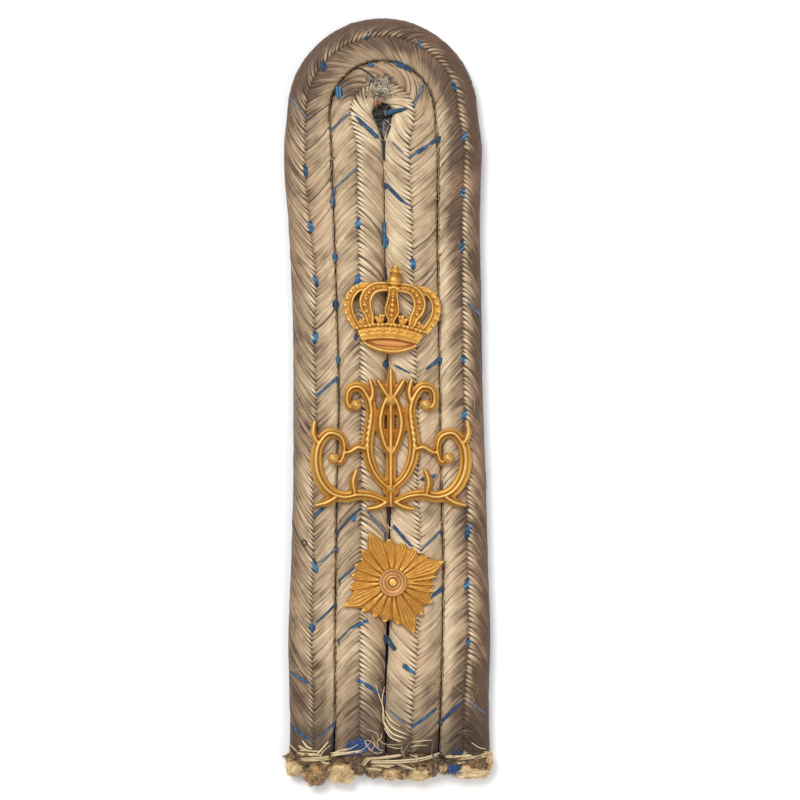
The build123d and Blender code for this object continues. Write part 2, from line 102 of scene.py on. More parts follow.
class Graph:
    """The nodes of one material."""

    def __init__(self, name: str) -> None:
        """Starts a material of that name with an empty graph."""
        self.material = bpy.data.materials.new(name)
        self.material.use_nodes = True
        self.tree = self.material.node_tree
        self.tree.nodes.clear()

    def node(self, kind: str, settings: dict[str, Any] | None = None, sockets: dict[Any, Any] | None = None,
             output: Any = 0) -> Value:
        """Adds any node.

        Args:
            kind: Blender's name of the node's type.
            settings: the node's own settings; "stops" holds a ramp's (place, colour) pairs.
            sockets: a value or a Value for each input, by name or number.
            output: name or number of the output that is wanted.

        Returns:
            That output.
        """
        made = self.tree.nodes.new(kind)
        for name, value in (settings or {}).items():
            if name != "stops":
                setattr(made, name, value)
                continue
            while len(made.color_ramp.elements) < len(value):
                made.color_ramp.elements.new(0.5)
            for element, (place, colour) in zip(made.color_ramp.elements, value):
                element.position, element.color = place, (*colour, 1.0)
        for key, value in (sockets or {}).items():
            if isinstance(value, Value):
                self.tree.links.new(value.socket, made.inputs[key])
            else:
                made.inputs[key].default_value = value
        return Value(self, made.outputs[output])

    def attribute(self, name: str, output: str = "Fac") -> Value:
        """Reads an attribute of the mesh."""
        return self.node("ShaderNodeAttribute", {"attribute_name": name}, output=output)

    def place(self) -> Value:
        """Object coordinates, in metres."""
        return self.node("ShaderNodeTexCoord", output="Object")

    def scaled(self, vector: Value, factors: Triple) -> Value:
        """A vector times one factor an axis."""
        return self.node("ShaderNodeVectorMath", {"operation": "MULTIPLY"}, {0: vector, 1: factors})

    def noise(self, vector: Value, scale: float, detail: float, rough: float) -> Value:
        """Cloudy noise over a vector."""
        return self.node("ShaderNodeTexNoise", None,
                         {"Vector": vector, "Scale": scale, "Detail": detail, "Roughness": rough}, "Fac")

    def ramp(self, factor: Value, *stops: tuple[float, Triple]) -> Value:
        """Colours along a value."""
        return self.node("ShaderNodeValToRGB", {"stops": stops}, {0: factor})

    def band(self, factor: Value, low: float, high: float) -> Value:
        """0 below low, 1 above high and smooth between."""
        return self.node("ShaderNodeMapRange", {"interpolation_type": "SMOOTHSTEP"},
                         {"Value": factor, "From Min": low, "From Max": high})

    def mix(self, factor: Any, first: Any, second: Any) -> Value:
        """Mixes two colours, each a Value or a plain colour."""
        first, second = (c if isinstance(c, Value) else (*c, 1.0) for c in (first, second))
        return self.node("ShaderNodeMix", {"data_type": "RGBA"}, {0: factor, 6: first, 7: second}, 2)

    def bump(self, height: Value, strength: float, distance: float) -> Value:
        """A normal that follows a height, whose distance is in metres."""
        return self.node("ShaderNodeBump", None,
                         {"Height": height, "Strength": strength, "Distance": distance})

    def surface(self, **sockets: Any) -> Material:
        """Ends the graph with a Principled shader whose sockets these are, an underscore for a space."""
        shader = self.node("ShaderNodeBsdfPrincipled", None,
                           {name.replace("_", " "): value for name, value in sockets.items()})
        out = self.tree.nodes.new("ShaderNodeOutputMaterial")
        self.tree.links.new(shader.socket, out.inputs["Surface"])
        return self.material


def srgb(red: int, green: int, blue: int) -> Triple:
    """A screen colour as the linear one that Blender works in."""
    return tuple(c / 255 / 12.92 if c <= 10 else ((c / 255 + 0.055) / 1.055) ** 2.4
                 for c in (red, green, blue))


# Finishes


@dataclass(frozen=True)
class BraidFinish:
    """Silky flat braid: fine fibres along each strand, cream to taupe, browned by age and by spots of
    discolouring, with painted highlights, sheen and shade mixed into its colour.
    """

    cream: Triple = srgb(226, 205, 171)
    light: Triple = srgb(192, 168, 135)
    taupe: Triple = srgb(160, 135, 104)
    brown: Triple = srgb(86, 64, 46)
    warm: Triple = srgb(176, 134, 104)
    soil: Triple = srgb(96, 70, 52)
    stain: Triple = srgb(58, 38, 22)

    def build(self) -> Material:
        """Makes the material."""
        g = Graph("aged_silk_braid")
        fibre = g.attribute("fibre", "Vector")
        streaks = g.noise(fibre, 1.0, 3.0, 0.62)
        fine = g.noise(g.scaled(fibre, (1.4, 2.9, 1.0)), 1.0, 2.0, 0.6)
        broad = g.noise(g.scaled(fibre, (0.8, 0.33, 3.1)), 1.0, 1.0, 0.5)
        clouds = g.noise(g.place(), 260.0, 3.0, 0.55)
        patches = g.noise(g.place(), 90.0, 2.0, 0.5)
        light = ((streaks - 0.5) * 1.05 + (fine - 0.5) * 0.22 + (broad - 0.5) * 0.72 + (clouds - 0.5) * 0.65
                 + (patches - 0.5) * 0.6)
        # the tone attribute holds the braid's own colour differences and also painted highlights, sheen and
        # shade
        level = (g.attribute("tone") + light).clamped()
        base = g.ramp(level, (0.0, self.brown), (0.34, self.taupe), (0.62, self.light), (1.0, self.cream))
        base = g.mix(g.band(patches * 0.6 + clouds * 0.4, 0.50, 0.68) * 0.38, base, self.warm)
        # darker brown: partly real grime, partly painted shade along the outer cord's outer edge where it
        # turns from the light
        base = g.mix((g.attribute("soil") * (0.45 + clouds * 0.9)).clamped() * 0.75, base, self.soil)
        # the dark brown is real discolouring towards the cut end, and painted shade on the cords' falling
        # edges and on the core between the strands
        discolour_and_shade_mix = (g.attribute("stain") * (0.50 + clouds * 0.9)).clamped()
        base = g.mix(discolour_and_shade_mix, base, self.stain)
        relief = streaks * 0.6 + fine * 0.4
        return g.surface(Base_Color=base, Roughness=(0.62 - streaks * 0.14).clamped(),
                         Normal=g.bump(relief, 0.32, 0.00008), Sheen_Weight=0.08, Sheen_Roughness=0.45,
                         Specular_IOR_Level=0.42)


@dataclass(frozen=True)
class WoolFinish:
    """Matte felted wool cloth."""

    dark: Triple = srgb(30, 52, 112)
    light: Triple = srgb(58, 88, 160)

    def build(self) -> Material:
        """Makes the material."""
        g = Graph("blue_wool_cloth")
        place = g.place()
        fuzz = g.noise(place, 2600.0, 4.0, 0.7)
        weave = g.node("ShaderNodeTexWave", {"wave_type": "BANDS", "bands_direction": "DIAGONAL"},
                       {"Vector": place, "Scale": 520.0, "Distortion": 3.0, "Detail": 2.0}, "Fac")
        edge_wear_and_shade = g.noise(place, 160.0, 3.0, 0.6)
        colour = g.mix((fuzz * 0.55 + weave * 0.2 + edge_wear_and_shade * 0.35).clamped(), self.dark, self.light)
        return g.surface(Base_Color=colour, Roughness=0.92, Sheen_Weight=0.5, Sheen_Roughness=0.5,
                         Normal=g.bump(fuzz * 0.7 + weave * 0.3, 0.6, 0.00012), Specular_IOR_Level=0.2)


@dataclass(frozen=True)
class GiltFinish:
    """Satin gilt on cast brass: a painted highlight on the ridges and painted shade, deep orange, in the
    recesses.
    """

    name: str = "satin_gilt"
    bright: Triple = srgb(222, 180, 104)
    body: Triple = srgb(202, 150, 68)
    recess: Triple = srgb(158, 100, 38)
    tint: Triple = srgb(198, 140, 92)
    roughness: float = 0.55
    metallic: float = 0.78

    def build(self) -> Material:
        """Makes the material."""
        g = Graph(self.name)
        place = g.place()
        hollow = g.attribute("hollow")
        clouds = g.noise(place, 900.0, 3.0, 0.6)
        grain = g.noise(place, 5200.0, 3.0, 0.6)
        level = (hollow + (clouds - 0.5) * 0.35).clamped()
        # painted shade in the recesses and a painted highlight on the ridges, from the relief of each vertex
        base = g.ramp(level, (0.0, self.recess), (0.42, self.body), (0.66, self.body), (1.0, self.bright))
        base = g.mix(g.attribute("tint") * 0.6, base, self.tint)
        return g.surface(Base_Color=base, Metallic=self.metallic,
                         Roughness=(self.roughness + (clouds - 0.5) * 0.16 - (hollow - 0.5) * 0.12).clamped(),
                         Normal=g.bump(grain * 0.6 + clouds * 0.4, 0.22, 0.00005))


@dataclass(frozen=True)
class FibreFinish:
    """Loose threads and wadding, coloured along the fibre with a little grime, from screen colours."""

    name: str
    light: tuple[int, int, int]
    dark: tuple[int, int, int]
    middle: tuple[int, int, int] | None = None
    scale: float = 900.0

    def build(self) -> Material:
        """Makes the material."""
        g = Graph(self.name)
        place = g.place()
        lumps = g.noise(place, self.scale, 4.0, 0.65)
        fine = g.noise(place, self.scale * 6.0, 3.0, 0.6)
        level = g.band(g.attribute("shade") * 0.6 + (lumps - 0.5) * 0.9 + (fine - 0.5) * 0.4 + 0.2, 0.1, 0.9)
        middle = ((0.5, srgb(*self.middle)),) if self.middle else ()
        base = g.ramp(level, (0.0, srgb(*self.dark)), *middle, (1.0, srgb(*self.light)))
        return g.surface(Base_Color=base, Roughness=0.85, Sheen_Weight=0.3, Normal=g.bump(fine, 0.5, 0.00008))


FIBRES = (
    FibreFinish("dyed_blue_thread", (84, 138, 170), (14, 26, 46), (34, 80, 118), 1300.0),
    FibreFinish("faded_blue_thread", (150, 158, 166), (42, 56, 78), (92, 105, 122), 1300.0),
    FibreFinish("yellowed_cotton", (232, 208, 160), (58, 40, 26), (182, 142, 92)),
    FibreFinish("straw_thread", (236, 216, 172), (186, 158, 112)),
    FibreFinish("brown_thread", (160, 130, 98), (50, 36, 24)),
    # dark brown for a few threads and for the painted shade laid in the seams and round the buttonhole
    FibreFinish("dark_thread_and_seam_shade", (78, 64, 52), (24, 19, 16)),
    FibreFinish("blue_wool_fibre", (58, 104, 178), (3, 12, 28), (24, 64, 122), 1600.0),
    FibreFinish("grey_thread", (206, 190, 162), (40, 42, 50), (122, 111, 96)),
    FibreFinish("reddish_thread", (186, 120, 88), (100, 50, 32)),
    # dark to grey wool for the painted shadow in the buttonhole
    FibreFinish("buttonhole_shadow_wool", (140, 136, 138), (30, 24, 21)),
)


# Meshes


def smooth_line(points: Array, count: int) -> Array:
    """A smooth curve through points.

    Args:
        points: rows of any width.
        count: how many rows are wanted, evenly along the curve's first three columns.

    Returns:
        The rows along the curve.
    """
    points = np.asarray(points, float)
    steps = np.linalg.norm(np.diff(points[:, :3], axis=0), axis=1)
    knots = np.concatenate([[0.0], np.cumsum(np.maximum(steps, 1e-9))])
    slopes = np.gradient(points, knots, axis=0, edge_order=1)
    fine = np.linspace(0, knots[-1], 12 * len(points) + count)
    k = np.clip(np.searchsorted(knots, fine, side="right") - 1, 0, len(knots) - 2)
    h = (knots[k + 1] - knots[k])[:, None]
    t = (fine - knots[k])[:, None] / h
    rows = ((2 * t**3 - 3 * t**2 + 1) * points[k] + (t**3 - 2 * t**2 + t) * h * slopes[k]
            + (3 * t**2 - 2 * t**3) * points[k + 1] + (t**3 - t**2) * h * slopes[k + 1])
    along = np.concatenate([[0.0], np.cumsum(np.linalg.norm(np.diff(rows[:, :3], axis=0), axis=1))])
    wanted = np.linspace(0, along[-1], count)
    return np.stack([np.interp(wanted, along, rows[:, c]) for c in range(rows.shape[1])], axis=1)


def rise(value: Array, start: float, span: float) -> Array:
    """0 up to a start, and from there evenly up to 1 over a span."""
    return np.clip((value - start) / span, 0, 1)


def hump(value: Array, middle: float, width: float) -> Array:
    """1 at a middle, and less and less to both sides."""
    return np.exp(-((value - middle) / width) ** 2)


def unit(vectors: Array) -> Array:
    """The same directions, each of length one."""
    return vectors / np.maximum(np.linalg.norm(vectors, axis=-1, keepdims=True), 1e-12)


def tube_faces(count: int, stations: int, points: int) -> list[tuple[int, ...]]:
    """Faces of closed tubes, with a cap at both ends of each.

    Args:
        count: how many tubes there are.
        stations: how many sections each has.
        points: how many vertices a section has.

    Returns:
        Loops of vertex numbers.
    """
    first = (np.arange(count)[:, None, None] * stations + np.arange(stations - 1)[None, :, None]) * points
    j = np.arange(points)[None, None, :]
    near, far = first + j, first + (j + 1) % points
    quads = np.stack([near, near + points, far + points, far], axis=3).reshape(-1, 4)
    start = np.arange(count)[:, None] * stations * points + np.arange(points)[None, :]
    end = start + (stations - 1) * points
    return [*map(tuple, quads.tolist()), *map(tuple, start.tolist()), *map(tuple, end[:, ::-1].tolist())]


class Tubes:
    """Many closed tubes of the same number of stations, joined in one mesh."""

    def __init__(self, lines: Array, ups: Array, half_widths: Array, half_heights: Array,
                 section: Array) -> None:
        """Sweeps a section along each line.

        Args:
            lines: middles of the sections, as (tube, station, xyz).
            ups: which way each section's top points, likewise.
            half_widths: half the width at each (tube, station).
            half_heights: half the height, likewise.
            section: the section's outline as (across, up), clockwise from its lower left corner.
        """
        along = unit(np.gradient(lines, axis=1))
        side = unit(np.cross(along, ups))
        up = np.cross(side, along)
        self.count, self.stations, self.points = lines.shape[0], lines.shape[1], len(section)
        across = section[:, 0][None, None, :, None] * half_widths[:, :, None, None] * side[:, :, None, :]
        high = section[:, 1][None, None, :, None] * half_heights[:, :, None, None] * up[:, :, None, :]
        self.vertices = (lines[:, :, None, :] + across + high).reshape(-1, 3)
        self.section = section

    def faces(self) -> list[tuple[int, ...]]:
        """The faces of all tubes."""
        return tube_faces(self.count, self.stations, self.points)

    def spread(self, values: Array) -> Array:
        """One value for each vertex from one for each (tube, station)."""
        return np.repeat(values.reshape(-1), self.points)

    def across(self, half_widths: Array) -> Array:
        """How far each vertex lies from the middle of its tube, sideways."""
        return (self.section[:, 0][None, None, :] * half_widths[:, :, None]).reshape(-1)


def linked(name: str, data: Any) -> Piece:
    """A new object of the scene that holds this data."""
    made = bpy.data.objects.new(name, data)
    bpy.context.collection.objects.link(made)
    return made


def new_object(name: str, vertices: Sequence[Any], faces: Sequence[Any], material: Material) -> Piece:
    """Makes a smooth piece in place.

    Args:
        name: the piece's name.
        vertices: places in metres.
        faces: loops of vertex numbers.
        material: the piece's finish.

    Returns:
        The object.
    """
    mesh = bpy.data.meshes.new(name)
    mesh.from_pydata([tuple(v) for v in np.asarray(vertices).tolist()], [], faces)
    mesh.shade_smooth()
    mesh.materials.append(material)
    mesh.update()
    return linked(name, mesh)


def vertex_rows(mesh: Mesh, key: str = "co") -> Array:
    """The places of a mesh's vertices, or their normals, in rows."""
    rows = np.empty(len(mesh.vertices) * 3)
    mesh.vertices.foreach_get(key, rows)
    return rows.reshape(-1, 3)


def set_attribute(piece: Piece, name: str, values: Array) -> None:
    """Gives each vertex of a piece a number, or a vector where values has three columns."""
    kind, key = ("FLOAT_VECTOR", "vector") if values.ndim == 2 else ("FLOAT", "value")
    layer = piece.data.attributes.new(name, kind, "POINT")
    layer.data.foreach_set(key, values.astype(np.float32).reshape(-1))


def settle_piece(piece: Piece, slot: str, *nodes: str) -> Piece:
    """Ties a finished piece to the frame.

    Args:
        piece: the piece.
        slot: not used.
        nodes: the solids that it stands for.

    Returns:
        The piece.
    """
    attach(piece, BODY)
    if nodes:
        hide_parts(*nodes)
    faces = sum(len(p.vertices) - 2 for p in piece.data.polygons)
    log.info("%s: %d vertices, %d triangles", piece.name, len(piece.data.vertices), faces)
    return piece


# The board's layout


@dataclass
class Board:
    """Layout that the pieces share, the same as in the solid model."""

    leg_half_width: float = 16.5
    leg_seam: float = 8.75
    leg_length: float = 101.2
    head_y: float = 106.1
    head_radius: float = 15.8
    head_seam_radius: float = 8.65
    head_shift: float = -0.85
    hole_radius: float = 1.75
    hole_tail: float = 4.9
    hole_foot_radius: float = 0.35
    seam_gap: float = 0.2
    cloth_thickness: float = 1.0
    cord_thickness: float = 3.2
    crease: float = 0.25
    settle: Pair = (0.0722, -58.4504)
    # from the cut end up, as shares: height, left edge, left seam, middle and its gap, right seam, right edge
    rows: Table = (
        (0, 0.993, 1.002, -0.038, 1, 0.975, 1.028), (0.088, 0.988, 0.993, -0.047, 1.5, 1.013, 1.018),
        (0.187, 0.998, 0.993, 0, 3, 1.041, 1.033), (0.317, 0.968, 0.975, 0.029, 1.5, 1.05, 1.008),
        (0.449, 0.948, 0.955, 0.047, 2, 1.013, 0.988), (0.579, 0.948, 0.918, 0.029, 1.5, 0.993, 0.958),
        (0.677, 0.948, 0.937, -0.009, 1, 0.975, 0.948), (0.776, 0.968, 0.975, -0.038, 1, 0.955, 0.938),
        (0.874, 0.998, 1.013, -0.057, 1, 0.946, 0.928), (0.939, 1.033, 1.041, -0.066, 1, 0.955, 0.938),
        (1, 1.039, 1.06, -0.086, 1, 0.946, 0.945))

    def mm(self, x: float, y: float) -> Pair:
        """A place of the drawing, in millimetres from the cut end, as metres in the frame."""
        return (x + self.settle[0]) * MM, (y + self.settle[1]) * MM

    def legs(self) -> Array:
        """Height of each row and the x of the six column edges there, in the drawing's millimetres."""
        along, out_l, seam_l, middle, gape, seam_r, out_r = np.array(self.rows).T
        half, centre = gape * self.seam_gap / 2, middle * self.leg_seam
        return np.stack([along * self.leg_length, -out_l * self.leg_half_width, -seam_l * self.leg_seam,
                         centre - half, centre + half, seam_r * self.leg_seam, out_r * self.leg_half_width])

    def head(self, radius: float, stations: int = 17) -> list[Pair]:
        """Points round the head from its left to its right springing point."""
        turns = [math.pi * (1 - k / (stations - 1)) for k in range(stations)]
        return [(self.head_shift + radius * math.cos(a), self.head_y + radius * math.sin(a)) for a in turns]


class Layer(Enum):
    """The two cords of the double U."""

    OUTER = "outer"
    INNER = "inner"


class CordPath:
    """A cord's two edges and middle line all along the U, in metres, and its surface between them."""

    STEP = 0.1 * MM
    HALF = 4.15
    # how high the surface still is at the cord's edge, and where it starts to fall, for each half
    EDGES = {Layer.OUTER: {-1: (1.1, 0.42), 1: (2.4, 0.66)}, Layer.INNER: {-1: (2.4, 0.66), 1: (2.1, 0.60)}}
    SWELL = 0.012
    # the middle line's place on each leg, as (height in the frame, share of the way to the second edge)
    SPINES = {
        (Layer.OUTER, -1): (
            (47, -0.07), (38, -0.16), (29, -0.06), (20, 0.09), (10, -0.06), (1, 0), (-9, -0.1), (-18, -0.11),
            (-27, -0.01), (-38, -0.03), (-47, 0.05), (-56, 0.06)),
        (Layer.OUTER, 1): (
            (44, -0.24), (34, -0.22), (26, -0.19), (16, -0.15), (-2, -0.15), (-21, -0.19), (-30, -0.06),
            (-40, -0.11), (-49, 0.0), (-56, 0.02)),
        (Layer.INNER, -1): ((47, 0.0), (39, 0.01), (20, -0.03), (5, -0.09), (-55, 0.04)),
        (Layer.INNER, 1): (
            (48, 0), (40, 0.06), (32, 0), (5, -0.09), (-16, -0.05), (-24, -0.15), (-45, -0.04), (-54, 0.1)),
    }
    HEAD_SPINE = {Layer.OUTER: -0.15, Layer.INNER: 0.0}

    def __init__(self, board: Board, layer: Layer) -> None:
        """Lays the cord's edges out along the U."""
        half = board.seam_gap / 2
        y, outer_left, seam_left, middle_left, middle_right, seam_right, outer_right = board.legs()
        if layer is Layer.OUTER:
            up, down = (outer_left, y, seam_left - half, y), (outer_right, y, seam_right + half, y)
            radii = (board.head_radius, board.head_seam_radius + half)
        else:
            up, down = (seam_left + half, y, middle_left, y), (seam_right - half, y, middle_right, y)
            radii = (board.head_seam_radius - half, board.hole_radius)
        head = np.hstack([board.head(radius) for radius in radii])
        rows = []
        for leg, part in ((-1, np.stack(up, 1)), (0, head), (1, np.stack(down, 1)[::-1])):
            for ax, ay, bx, by in part:
                a, b = board.mm(ax, ay), board.mm(bx, by)
                spine = self._spine(layer, leg, a[1] / MM)
                rows.append(((a[0] + b[0]) / 2, (a[1] + b[1]) / 2, 0.0, *a, *b, spine))
        rough = smooth_line(np.array(rows), 400)
        self.length = float(np.linalg.norm(np.diff(rough[:, :3], axis=0), axis=1).sum())
        count = int(self.length / self.STEP)
        fine = smooth_line(np.array(rows), count)
        self.first, self.second, self.middle = fine[:, 3:5], fine[:, 5:7], fine[:, 7]
        self.along = np.linspace(0, self.length, count)
        self.board = board
        self.tables = {side: self._half_section(*shape) for side, shape in self.EDGES[layer].items()}
        self.reach = {side: float(table[0][-1]) for side, table in self.tables.items()}

    def _spine(self, layer: Layer, leg: int, y: float) -> float:
        """Where the middle line lies, as a share of the way to the second edge; leg 0 is the head."""
        if not leg:
            return self.HEAD_SPINE[layer]
        rows = np.array(self.SPINES[layer, leg][::-1])
        return float(np.interp(y, rows[:, 0], rows[:, 1]))

    def _half_section(self, edge: float, lobe: float) -> tuple[Array, Array, Array]:
        """Table of one half's section.

        Args:
            edge: height of the surface at the cord's edge, in millimetres.
            lobe: share of the way out at which it starts to fall.

        Returns:
            Distance over the surface, share of the way out and height, row by row.
        """
        b = self.board
        top, out = b.cord_thickness, np.linspace(0, 1, 200)
        drop, reach = top - edge, (1 - lobe) * self.HALF
        radius = (reach**2 + drop**2) / (2 * drop)
        crown = top - b.crease * (np.clip(lobe - out, 0, None) / lobe) ** 2
        beyond = np.clip((out - lobe) * self.HALF, 0, reach)
        height = np.where(out < lobe, crown, top - radius + np.sqrt(np.maximum(radius**2 - beyond**2, 0)))
        out, height = np.append(out, 1.0), np.append(height, 0.0)
        steps = np.hypot(np.diff(out) * self.HALF, np.diff(height))
        swell = 1 + self.SWELL * (lobe > 0.5) * out
        return np.concatenate([[0.0], np.cumsum(steps)]), out * swell, height

    def right_leg(self, s: Array) -> Array:
        """0 on the left leg, 1 on the right one and evenly up between them, round the head."""
        return rise(s / self.length, 0.42, 0.16)

    def at(self, s: Array, over: Array, side: int) -> Array:
        """Places on the surface.

        Args:
            s: distance along the cord, in metres.
            over: distance over the surface from the middle line, in millimetres of a nominal cord.
            side: -1 for the half towards the first edge, 1 for the other.

        Returns:
            Points in metres.
        """
        first = np.stack([np.interp(s, self.along, self.first[:, c]) for c in (0, 1)], axis=-1)
        second = np.stack([np.interp(s, self.along, self.second[:, c]) for c in (0, 1)], axis=-1)
        far, out, high = self.tables[side]
        share = np.interp(np.abs(over), far, out) * np.sign(over) * side
        share = share + np.interp(s, self.along, self.middle) * (1 - share**2)
        flat = (first + second) / 2 + (second - first) / 2 * share[..., None]
        height = (np.interp(np.abs(over), far, high) + self.board.cloth_thickness) * MM
        return np.concatenate([flat, height[..., None]], axis=-1)

    def normal(self, s: Array, over: Array, side: int) -> Array:
        """Outward directions on the surface at those places."""
        ds, dq = 0.2 * MM, 0.12
        along = self.at(s + ds, over, side) - self.at(s - ds, over, side)
        across = self.at(s, over + dq, side) - self.at(s, over - dq, side)
        up = unit(np.cross(along, across) * -side)
        return np.where(up[..., 2:3] < -0.2, -up, up)


# Braid


# how strands start at the middle line: distances over the surface, height above it and share of width
OVER = ((-0.24, -0.06, 0.10, 0.28, 0.55, 0.95, 1.45, 2.0, 2.7, 3.4, 4.1, 4.9, 5.75),
        (-0.32, -0.04, 0.09, 0.15, 0.13, 0.07, 0.02, 0.0, 0.0, 0.0, 0.0, 0.0, 0.0),
        (0.28, 0.56, 0.72, 0.78, 0.84, 1.02, 1.14, 1.22, 1.28, 1.30, 1.30, 1.25, 1.20))
UNDER = ((-0.06, 0.08, 0.24, 0.45, 0.75, 1.1, 1.6, 2.2, 2.8, 3.5, 4.2, 4.9, 5.75),
         (-0.30, -0.18, -0.10, -0.04, 0.0, 0.0, 0.0, 0.0, 0.0, 0.0, 0.0, 0.0, 0.0),
         (0.74, 0.86, 0.96, 1.04, 1.10, 1.16, 1.20, 1.24, 1.28, 1.30, 1.30, 1.25, 1.20))
# the half whose strands lie on top
OVER_SIDE = {Layer.OUTER: -1, Layer.INNER: 1}
# how light each half is on the left and on the right leg: at its middle line, half way out, at its edge;
# partly the braid's own colour, partly painted light: sheen where a cord rounds down into a seam and shade on
# the sides turned from the light
TONES = {
    (Layer.OUTER, -1): ((0.44, 0.38, 0.26), (0.36, 0.02, -0.02)),
    (Layer.OUTER, 1): ((0.44, 0.48, 0.80), (-0.08, 0.18, 0.90)),
    (Layer.INNER, -1): ((0.46, 0.46, 0.60), (0.72, 0.40, 0.54)),
    (Layer.INNER, 1): ((0.72, 0.50, 0.46), (0.64, 0.70, 0.74)),
}
# the section of a strand, three fibres side by side
STRAND = np.array([(-1.0, -0.80), (-0.90, 0.25), (-0.64, 0.82), (-0.32, 0.50), (0.0, 1.0), (0.32, 0.50),
                   (0.64, 0.82), (0.90, 0.25), (1.0, -0.80)])


@dataclass
class BraidCord:
    """One padded cord: a core coloured dark as painted shade in the gaps between the strands, and the strands
    laid over it from the middle line to both sides.
    """

    board: Board
    layer: Layer
    pitch: float = 0.78
    seed: int = 11
    half_height: float = 0.15
    sink: float = 0.10

    def lean(self, path: CordPath, s: Array, over: Array, side: int) -> Array:
        """How far a strand runs along the cord, in millimetres, at a distance over the surface."""
        if self.layer is Layer.OUTER and side < 0:
            turn = path.right_leg(s)
            return (1.0 - 0.5 * turn) * over + (0.08 + 0.08 * turn) * over * np.abs(over)
        return 0.66 * over + 0.075 * over * np.abs(over)

    def strands(self, path: CordPath) -> tuple[Tubes, dict[str, Array]]:
        """Lays all strands.

        Args:
            path: the cord's edges and surface.

        Returns:
            The tubes, and the values of each vertex by attribute name.
        """
        rng = np.random.default_rng(self.seed)
        way = 1.0 if self.layer is Layer.OUTER else -1.0
        count = int(path.length / (self.pitch * MM))
        lines, ups, widths, heights, marks = [], [], [], [], []
        for side in (-1, 1):
            over, high, slim = np.array(OVER if side == OVER_SIDE[self.layer] else UNDER)
            over = np.where(over < 2, over, 2 + (over - 2) * (path.reach[side] - 2) / (over[-1] - 2))
            k = np.arange(-9, count + 9)
            start = (k + 0.25 * side) * self.pitch * MM
            wobble = np.cumsum(rng.normal(0, 0.06, len(k)))
            wobble = (wobble - np.convolve(wobble, np.ones(15) / 15, "same")) * 0.5
            start = (start + (wobble + rng.normal(0, 0.065, len(k))) * MM)[:, None]
            slant = 1 + rng.normal(0, 0.045, len(k)) + 0.06 * np.sin(k / 6.0 + side)
            o = np.broadcast_to(over, (len(k), len(over)))
            drift = rng.normal(0, 0.07, (len(k), 1)) * np.clip(o, 0, None) / path.reach[side]
            s = start + way * (self.lean(path, start, o, side) * slant[:, None] + drift) * MM
            keep = (s[:, 2] > 0) & (s[:, 2] < path.length)
            s, o = np.clip(s[keep], 0, path.length), o[keep]
            centre = path.at(s, o, side)
            up = path.normal(s, o, side)
            gap = np.gradient(centre, axis=0)
            run = unit(np.gradient(centre, axis=1))
            gap = np.linalg.norm(gap - (gap * run).sum(2, keepdims=True) * run, axis=2)
            gap = np.clip(gap, 0.12 * MM, 0.95 * MM)
            n = len(s)
            lift = high * rng.uniform(0.75, 1.2, (n, 1)) + rng.normal(0, 0.02, (n, 1))
            lines.append(centre + up * ((lift - self.sink) * MM)[..., None])
            tilt = rng.normal(0, 0.12, (n, 1, 1))
            ups.append(up + tilt * np.cross(run, up))
            widths.append(gap / 2 * slim * (1 + rng.normal(0, 0.07, (n, 1))))
            heights.append(self.half_height * MM * (0.5 + 0.5 * rise(gap, 0, 0.5 * MM))
                           * np.interp(o, (0.5, 2.2), (1.12, 0.55)))
            marks.append([np.broadcast_to(row, s.shape) for row in
                          (s, o, float(side), path.reach[side], rng.random((n, 1)), rng.random((n, 1)))])
        tubes = Tubes(np.concatenate(lines), np.concatenate(ups), np.concatenate(widths),
                      np.concatenate(heights), STRAND)
        return tubes, self.values(path, tubes, np.concatenate(widths), marks)

    def values(self, path: CordPath, tubes: Tubes, widths: Array,
               marks: list[list[Array]]) -> dict[str, Array]:
        """Colour values of each vertex.

        Args:
            path: the cord's path.
            tubes: the strands.
            widths: half width at each station.
            marks: distance along, distance over, side, reach and two random numbers at each station.

        Returns:
            Attribute values by name.
        """
        s, over, side, reach, shade, seat = (np.concatenate([m[i] for m in marks]) for i in range(6))
        places = tubes.vertices.reshape(tubes.count, tubes.stations, tubes.points, 3).mean(2) / MM
        x, y = places[..., 0], places[..., 1]
        outer, inward, above = self.layer is Layer.OUTER, side > 0, side == OVER_SIDE[self.layer]
        out, right = np.clip(over / reach, 0, 1), path.right_leg(s)
        tone = np.zeros_like(s)
        for half in (-1, 1):
            share = np.interp(over, *path.tables[half][:2])
            left_leg, right_leg = (np.interp(share, (0.1, 0.5, 0.9), t) for t in TONES[self.layer, half])
            tone = np.where(side == half, left_leg + (right_leg - left_leg) * right, tone)
        bold = 1.0 if outer else 0.75
        dusk = rise(y, 49.2, 1.4) * (1 - 0.6 * rise(x, 3, 1.5)) * (not outer)
        # painted highlight on the raised starts of the strands on top at the middle line (the teeth), and
        # painted shade along the middle line on the half beneath
        teeth = hump(over, 0.40, 0.46) * (0.55 + 0.9 * shade) * (1 - 0.9 * dusk)
        tone += np.where(above, 0.36 * bold * teeth, -0.12 * hump(over, 0, 0.5))
        group = 0.5 + 0.5 * np.sin(s / MM * 0.9 + 3 * np.sin(s / MM * 0.23))
        tone += (shade - 0.5) * 0.22 + (group - 0.5) * 0.12
        head = rise(y, 44, 10)
        if outer:
            tone -= head * (np.where(above, 0.06 + 0.10 * out, 0.06) + 0.10 * rise(-x, 3, 5))
            tone -= (0.13 + 0.10 * right * inward) * rise(y, 20, 14)
            tone += 0.20 * right * inward * hump(out, 0, 0.45) * rise(-y, -22, 12)
        else:
            low = rise(-y, 14, 26) * rise(out, 0.2, 0.3)
            tone -= 0.32 * low * (1 - right) * inward + 0.10 * low * right
            tone += 0.16 * rise(y, 40, 6) * above * (1 - dusk) - 0.36 * dusk - 0.07 * right * hump(y, 27, 6)
